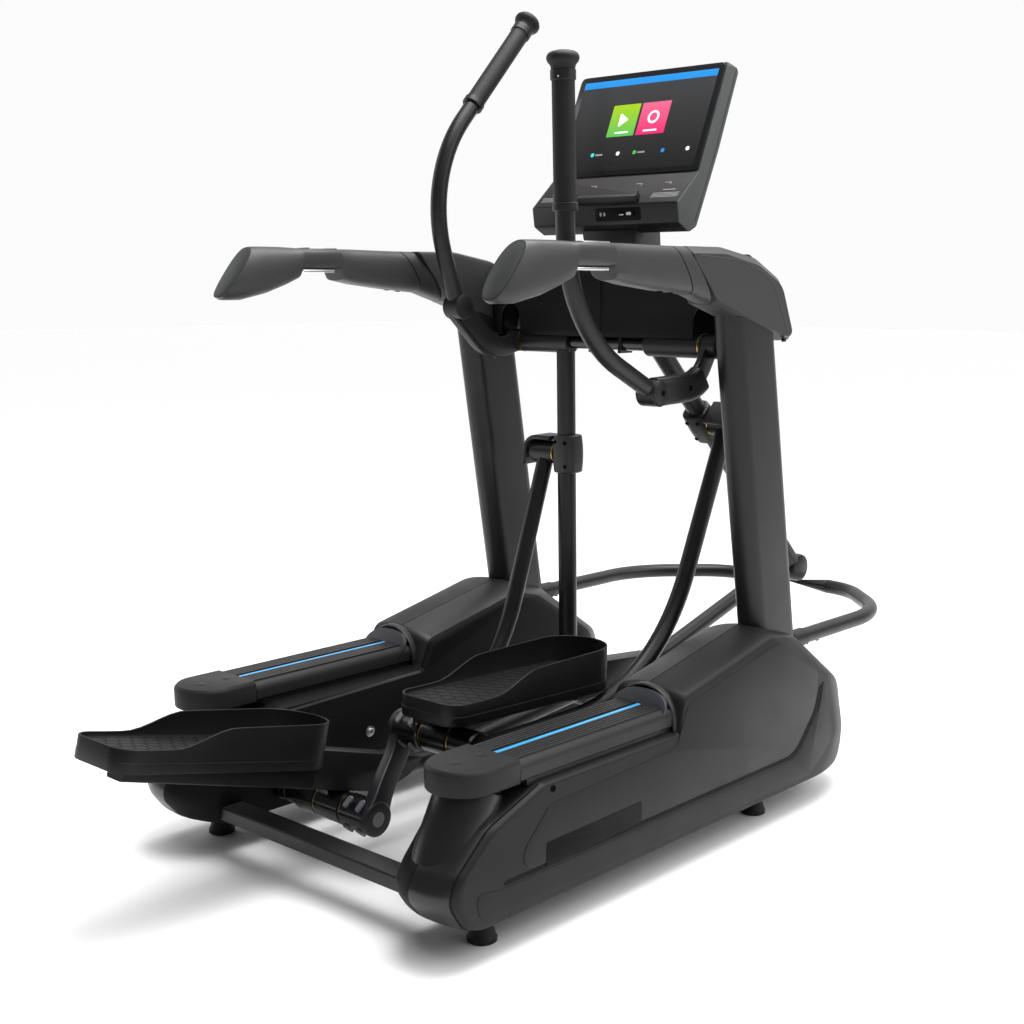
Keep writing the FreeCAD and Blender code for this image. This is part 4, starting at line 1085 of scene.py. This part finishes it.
def rim_height(y):
    """Low at the heel, then a smooth rise to a high toe guard."""
    share = min(max((y - 105) / 125, 0), 1)
    ease = share * share * (3 - 2 * share)
    return RIM_LOW + RIM_RISE * ease + RIM_TOE * min(max(y - 60, 0) / 400, 1) * (0.4 + 0.6 * ease)


def tray_mesh():
    wall = 4.0
    layers = [(wall, "base", -4), (0.8, "base", -4), (0, "base", -2.5), (0, "base", 14), (0.5, "base", 14.6),
              (0.5, "rim", -2), (0.9, "rim", -0.6), (1.8, "rim", 0), (wall - 1, "rim", 0), (wall, "rim", -1),
              (wall, "base", TRAY_FLOOR + 5), (wall + 1.5, "base", TRAY_FLOOR + 1.5),
              (wall + 5, "base", TRAY_FLOOR)]
    rings = []
    guide = tray_outline(0)
    for shrink, level, lift in layers:
        ring = []
        for (x, y), (_, guide_y) in zip(tray_outline(shrink), guide):
            z = rim_height(guide_y) + lift if level == "rim" else lift
            ring.append((x, y, z))
        rings.append(ring)
    under = [(x, y, 18.0) for x, y in tray_outline(wall)]
    return skin([under] + rings)


def hex_tiles():
    """Raised hexagon tread over the tray's floor."""
    corners = [(math.cos(math.pi / 3 * n), math.sin(math.pi / 3 * n)) for n in range(6)]
    size = TILE_REACH * TILE_FILL
    tiles = []
    for column in range(-3, 4):
        for row in range(19):
            x = TRAY_X + column * TILE_REACH * 1.5
            y = 10 + row * TILE_REACH * 1.732 + (TILE_REACH * 0.866 if column % 2 else 0)
            outline = [(x + size * a, y + size * b) for a, b in corners]
            tiles.append(solid(outline, TRAY_FLOOR + 1.2, TRAY_FLOOR + 2.4, "z"))
    return joined(*tiles)


def tray(side, where, body):
    seat = where @ Matrix.Translation((0, -TRAY_REAR, -3)) @ Matrix.Rotation(TRAY_TILT, 4, "X")
    add = maker(side + "_", seat, body)
    add("tray_shell", tray_mesh(), RIM, "dark_plastic", side + "_pedal_tray")
    edge = [(x, y, TRAY_FLOOR) for x, y in tray_outline(9)]
    mat = skin([edge, [(x, y, TRAY_FLOOR + 1.6) for x, y in tray_outline(9.5)]])
    add("tray_mat", mat, MAT, "step_rubber", side + "_pedal_mat")
    tiles = build(side + "_mat_tiles", hex_tiles(), seat)
    keep = skin([[(x, y, z) for x, y in tray_outline(12)] for z in (TRAY_FLOOR - 5, TRAY_FLOOR + 10)])
    boolean(tiles, keep, seat, "INTERSECT")
    dress(tiles, MAT, body, "step_rubber")


# ---------------------------------------------------------------- swinging arms
HANDLE_PATH = [(-195, 80), (-283, 352), (50, 702)]
GRIP_LENGTH = 276.0


def handle_point(distance):
    """Point on the handle's top run, a distance below its upper end."""
    low, high = Vector(HANDLE_PATH[1]), Vector(HANDLE_PATH[2])
    spot = high + (low - high).normalized() * distance
    return Vector((HANDLE_X, spot[0], spot[1]))


def along_handle(profile):
    """Turned piece on the handle's top run; heights are distances below the upper end."""
    top = handle_point(0)
    return lathe(profile, top, handle_point(100) - top)


def elbow_line(x):
    return route([(x, -197, 84), (x, -88, -20), (x, 0, 0)], [95], 24)


def elbow_cover(link):
    """Rounded cover on the outer face of the link's first two thirds."""
    legs = [(after - before).length for before, after in zip(link, link[1:])]
    line = [point + Vector((10, 0, 0)) for index, point in enumerate(link[:-1])
            if sum(legs[:index]) < 0.68 * sum(legs)]
    return sweep(line, rounded([(-13, -28), (16, -28), (16, 28), (-13, 28)], [4, 13, 13, 4], 6))


def handlebar(side):
    add = maker(side + "_", STATE[side]["arm"], side + "_arm")
    points = [(HANDLE_X, y, z) for y, z in HANDLE_PATH[:2]] + [tuple(handle_point(GRIP_LENGTH - 20))]
    add("handle_tube", tube(points, [280], HANDLE_TUBE), PAINT, "frame_paint", side + "_handlebar")
    plate = rounded([(-6, -21), (6, -21), (6, 21), (-6, 21)], 2, 3)
    link = elbow_line(HANDLE_X - 4)
    add("handle_link", sweep(link, plate), PAINT, "frame_paint")
    add("handle_elbow", elbow_cover(link), DARK, "frame_paint", edge=1)
    end = Vector((HANDLE_X, -195, 80))
    clamp = lathe([(0, 22), (2, 26.5), (42, 26.5), (44, 25)], end - Vector((24, 0, 0)), (1, 0, 0))
    add("handle_clamp", clamp, DARK, "frame_paint")
    cap = lathe([(0, 25), (3, 25), (7, 23), (9, 18)], end + Vector((14, 0, 0)), (1, 0, 0))
    add("handle_cap", cap, DARK, "frame_paint")
    places = [(HANDLE_X + 23, -193, 78), (HANDLE_X + 22.2, -126, 17)]
    holes = [hole_disc(place, (1, 0, 0), 5.5) for place in places]
    # Black hole discs on the elbow: painted shade.
    add("elbow_holes", joined(*holes), HOLE_SHADE, "dark_plastic")
    hub = lathe([(0, 22), (2, 25), (33, 25), (36, 22)], (252, 0, 0), (1, 0, 0))
    add("handle_hub", hub, DARK, "frame_paint")
    washer = lathe([(0, 18), (0, 25.8), (2, 25.8), (2, 18)], (245, 0, 0), (1, 0, 0))
    add("handle_washer", washer, BRASS, "brass")
    grip(side, add)


def grip(side, add):
    sleeve = [(48, 20.5), (GRIP_LENGTH - 14, 20.5)]
    add("grip_sleeve", along_handle(sleeve), RUBBER, "black_rubber", side + "_grip")
    low = [(GRIP_LENGTH - 16, 21.5), (GRIP_LENGTH - 15, 23), (GRIP_LENGTH - 3, 23), (GRIP_LENGTH - 1, 21.5)]
    top = [(33, 21), (34, 22.8), (50, 22.8), (52, 21)]
    add("grip_rings", joined(along_handle(low), along_handle(top)), DARK, "black_rubber")
    knob = [(0.5, 2), (0.9, 12), (3, 21), (6, 26), (11, 29), (16, 29.2), (21, 27), (25, 23.5), (28, 22),
            (36, 21)]
    add("grip_knob", along_handle(knob), RUBBER, "black_rubber")
    screw = lathe([(0, 1.7), (23.3, 1.7), (23.6, 1.1)], handle_point(42), (0.3, -0.75, 0.5), 16)
    add("ring_screw", screw, STEEL, "machined_steel")


def mid_clamp(rocker):
    """Squarish rounded barrel round the swing tube."""
    rings = []
    for lift, grow in ((-42, 0), (-40, 3), (-20, 5), (0, 5.5), (20, 5), (40, 3), (42, 0)):
        half = 25 + grow
        outline = rounded([(-half, -half), (half, -half), (half, half), (-half, half)], half * 0.72, 7)
        rings.append([(SWING_X - 4 + a, b, -rocker + lift) for a, b in outline])
    return skin(rings)


def clamp_hood(rocker):
    """Arm that reaches outboard over the rod's head and curls down round its end."""
    line = route([(153, 0, -rocker + 34), (224, 0, -rocker + 34), (232, 0, -rocker - 30)], [34])
    section = rounded([(-30, -5), (30, -5), (30, 5), (-30, 5)], 4, 3)
    return sweep(line, section, Vector((0, 1, 0)))


def swing_arm(side):
    state = STATE[side]
    where = state["arm"]
    add = maker(side + "_", where, side + "_arm")
    reach, rocker = state["swing_length"], state["rocker"]
    shaft = lathe([(0, SWING_TUBE), (reach, SWING_TUBE)], (SWING_X, 0, 0), (0, 0, -1))
    add("swing_tube", shaft, PAINT, "frame_paint", side + "_swing_arm")
    hub = lathe([(0, 23), (2, 25), (145, 25), (147, 23)], (105, 0, 0), (1, 0, 0))
    add("swing_hub", hub, DARK, "frame_paint")
    add("mid_clamp", mid_clamp(rocker), COVER, "cover_plastic")
    make(side + "_clamp_hood", clamp_hood(rocker), where, COVER, side + "_connecting_rod", "cover_plastic",
         edge=1.5)
    places = [(SWING_X + x, -29.6, -rocker + z) for x, z in ((-19, 26), (-19, -26), (9, 27))]
    holes = [hole_disc(place, (0, -1, 0), 4.2) for place in places]
    # Black hole discs on the clamp: painted shade.
    add("clamp_holes", joined(*holes), HOLE_SHADE, "dark_plastic")
    knuckle = lathe([(0, 26), (3, 31), (8, 33), (30, 33), (38, 31), (41, 24)], (105.5, 0, -reach), (1, 0, 0))
    add("knuckle", knuckle, PAINT, "frame_paint")
    band = lathe([(0, 32.4), (0, 33.5), (2, 33.5), (2, 32.4)], (117, 0, -reach), (1, 0, 0))
    add("knuckle_band", band, BOLT, "light_steel")


def arms():
    for side in SIDES:
        handlebar(side)
        swing_arm(side)


# ---------------------------------------------------------------- pieces kept from the frame
KEPT = {
    "top_beam": BLACK, "top_axle": BLACK, "crank_arms": BLACK, "main_bearings": IRON, "drive_brackets": PAINT,
    "drive_belt": BELT, "brake_magnet": IRON, "drive_pulley": IRON, "flywheel": IRON,
}


def dress_kept():
    for name, look in KEPT.items():
        for slot in frame["nodes"][name].material_slots:
            slot.material = look


# ---------------------------------------------------------------- stage
def area(name, place, target, size, power):
    light = bpy.data.lights.new(name, "AREA")
    light.energy = power
    light.shape = "RECTANGLE"
    light.size, light.size_y = size
    lamp = bpy.data.objects.new(name, light)
    lamp.location = place
    lamp.rotation_euler = (Vector(target) - Vector(place)).to_track_quat("-Z", "Y").to_euler()
    bpy.context.scene.collection.objects.link(lamp)


def studio():
    floor = bpy.data.meshes.new("floor")
    reach = 30
    floor.from_pydata([(-reach, -reach, 0), (reach, -reach, 0), (reach, reach, 0), (-reach, reach, 0)], [],
                      [(0, 1, 2, 3)])
    pad = bpy.data.objects.new("floor", floor)
    bpy.context.scene.collection.objects.link(pad)
    white = bpy.data.materials.new("floor_white")
    white.use_nodes = True
    white.node_tree.nodes["Principled BSDF"].inputs["Base Color"].default_value = (0.98, 0.98, 0.98, 1)
    white.node_tree.nodes["Principled BSDF"].inputs["Roughness"].default_value = 0.8
    floor.materials.append(white)
    world = bpy.data.worlds.new("studio")
    world.use_nodes = True
    tree = world.node_tree
    place = tree.nodes.new("ShaderNodeTexCoord")
    facing = node(tree, "ShaderNodeVectorMath")
    facing.operation = "DOT_PRODUCT"
    facing.inputs[1].default_value = (-0.68, 0.73, -0.25)
    ramp = node(tree, "ShaderNodeMapRange")
    ramp.inputs["From Min"].default_value = 0.1
    ramp.inputs["From Max"].default_value = 0.75
    ramp.inputs["To Min"].default_value = 0.12
    ramp.inputs["To Max"].default_value = 0.97
    tree.links.new(place.outputs["Generated"], facing.inputs[0])
    tree.links.new(facing.outputs["Value"], ramp.inputs["Value"])
    tree.links.new(ramp.outputs["Result"], tree.nodes["Background"].inputs["Color"])
    bpy.context.scene.world = world
    bpy.context.scene.view_settings.view_transform = "Standard"
    sun = bpy.data.lights.new("ceiling", "SUN")
    sun.energy = 2.55
    sun.angle = math.radians(90)
    lamp = bpy.data.objects.new("ceiling", sun)
    lamp.rotation_euler = (math.radians(-14), math.radians(16), 0)
    bpy.context.scene.collection.objects.link(lamp)
    area("right_soft", (3.4, 1.6, 2.6), (0, 0, 0.7), (2.4, 2.4), 34)
    area("top_soft", (0.3, 0.4, 3.7), (0, 0, 0.6), (2.4, 2.4), 130)
    area("left_soft", (-3.4, -1.2, 2.2), (0, 0, 0.7), (1.4, 2.6), 18)


def camera():
    data = bpy.data.cameras.new("camera")
    data.lens = 51.569
    eye = bpy.data.objects.new("camera", data)
    heading, pitch = math.radians(42.82), math.radians(-8.892)
    eye.location = (1.9956, -1.6837 + DATUM_Y * MM, 1.100)
    eye.rotation_euler = (math.pi / 2 + pitch, 0, heading)
    bpy.context.scene.collection.objects.link(eye)
    bpy.context.scene.camera = eye


STATE = {side: linkage(side) for side in SIDES}
PINS = {side: STATE[side]["pin"] for side in SIDES}

camera()
studio()
pods()
rear_posts()
steps()
base()
top_housing()
handrails()
shoulders()
console_body()
screen()
keypad()
ports()
neck()
crank()
rods()
foot_links()
arms()
dress_kept()
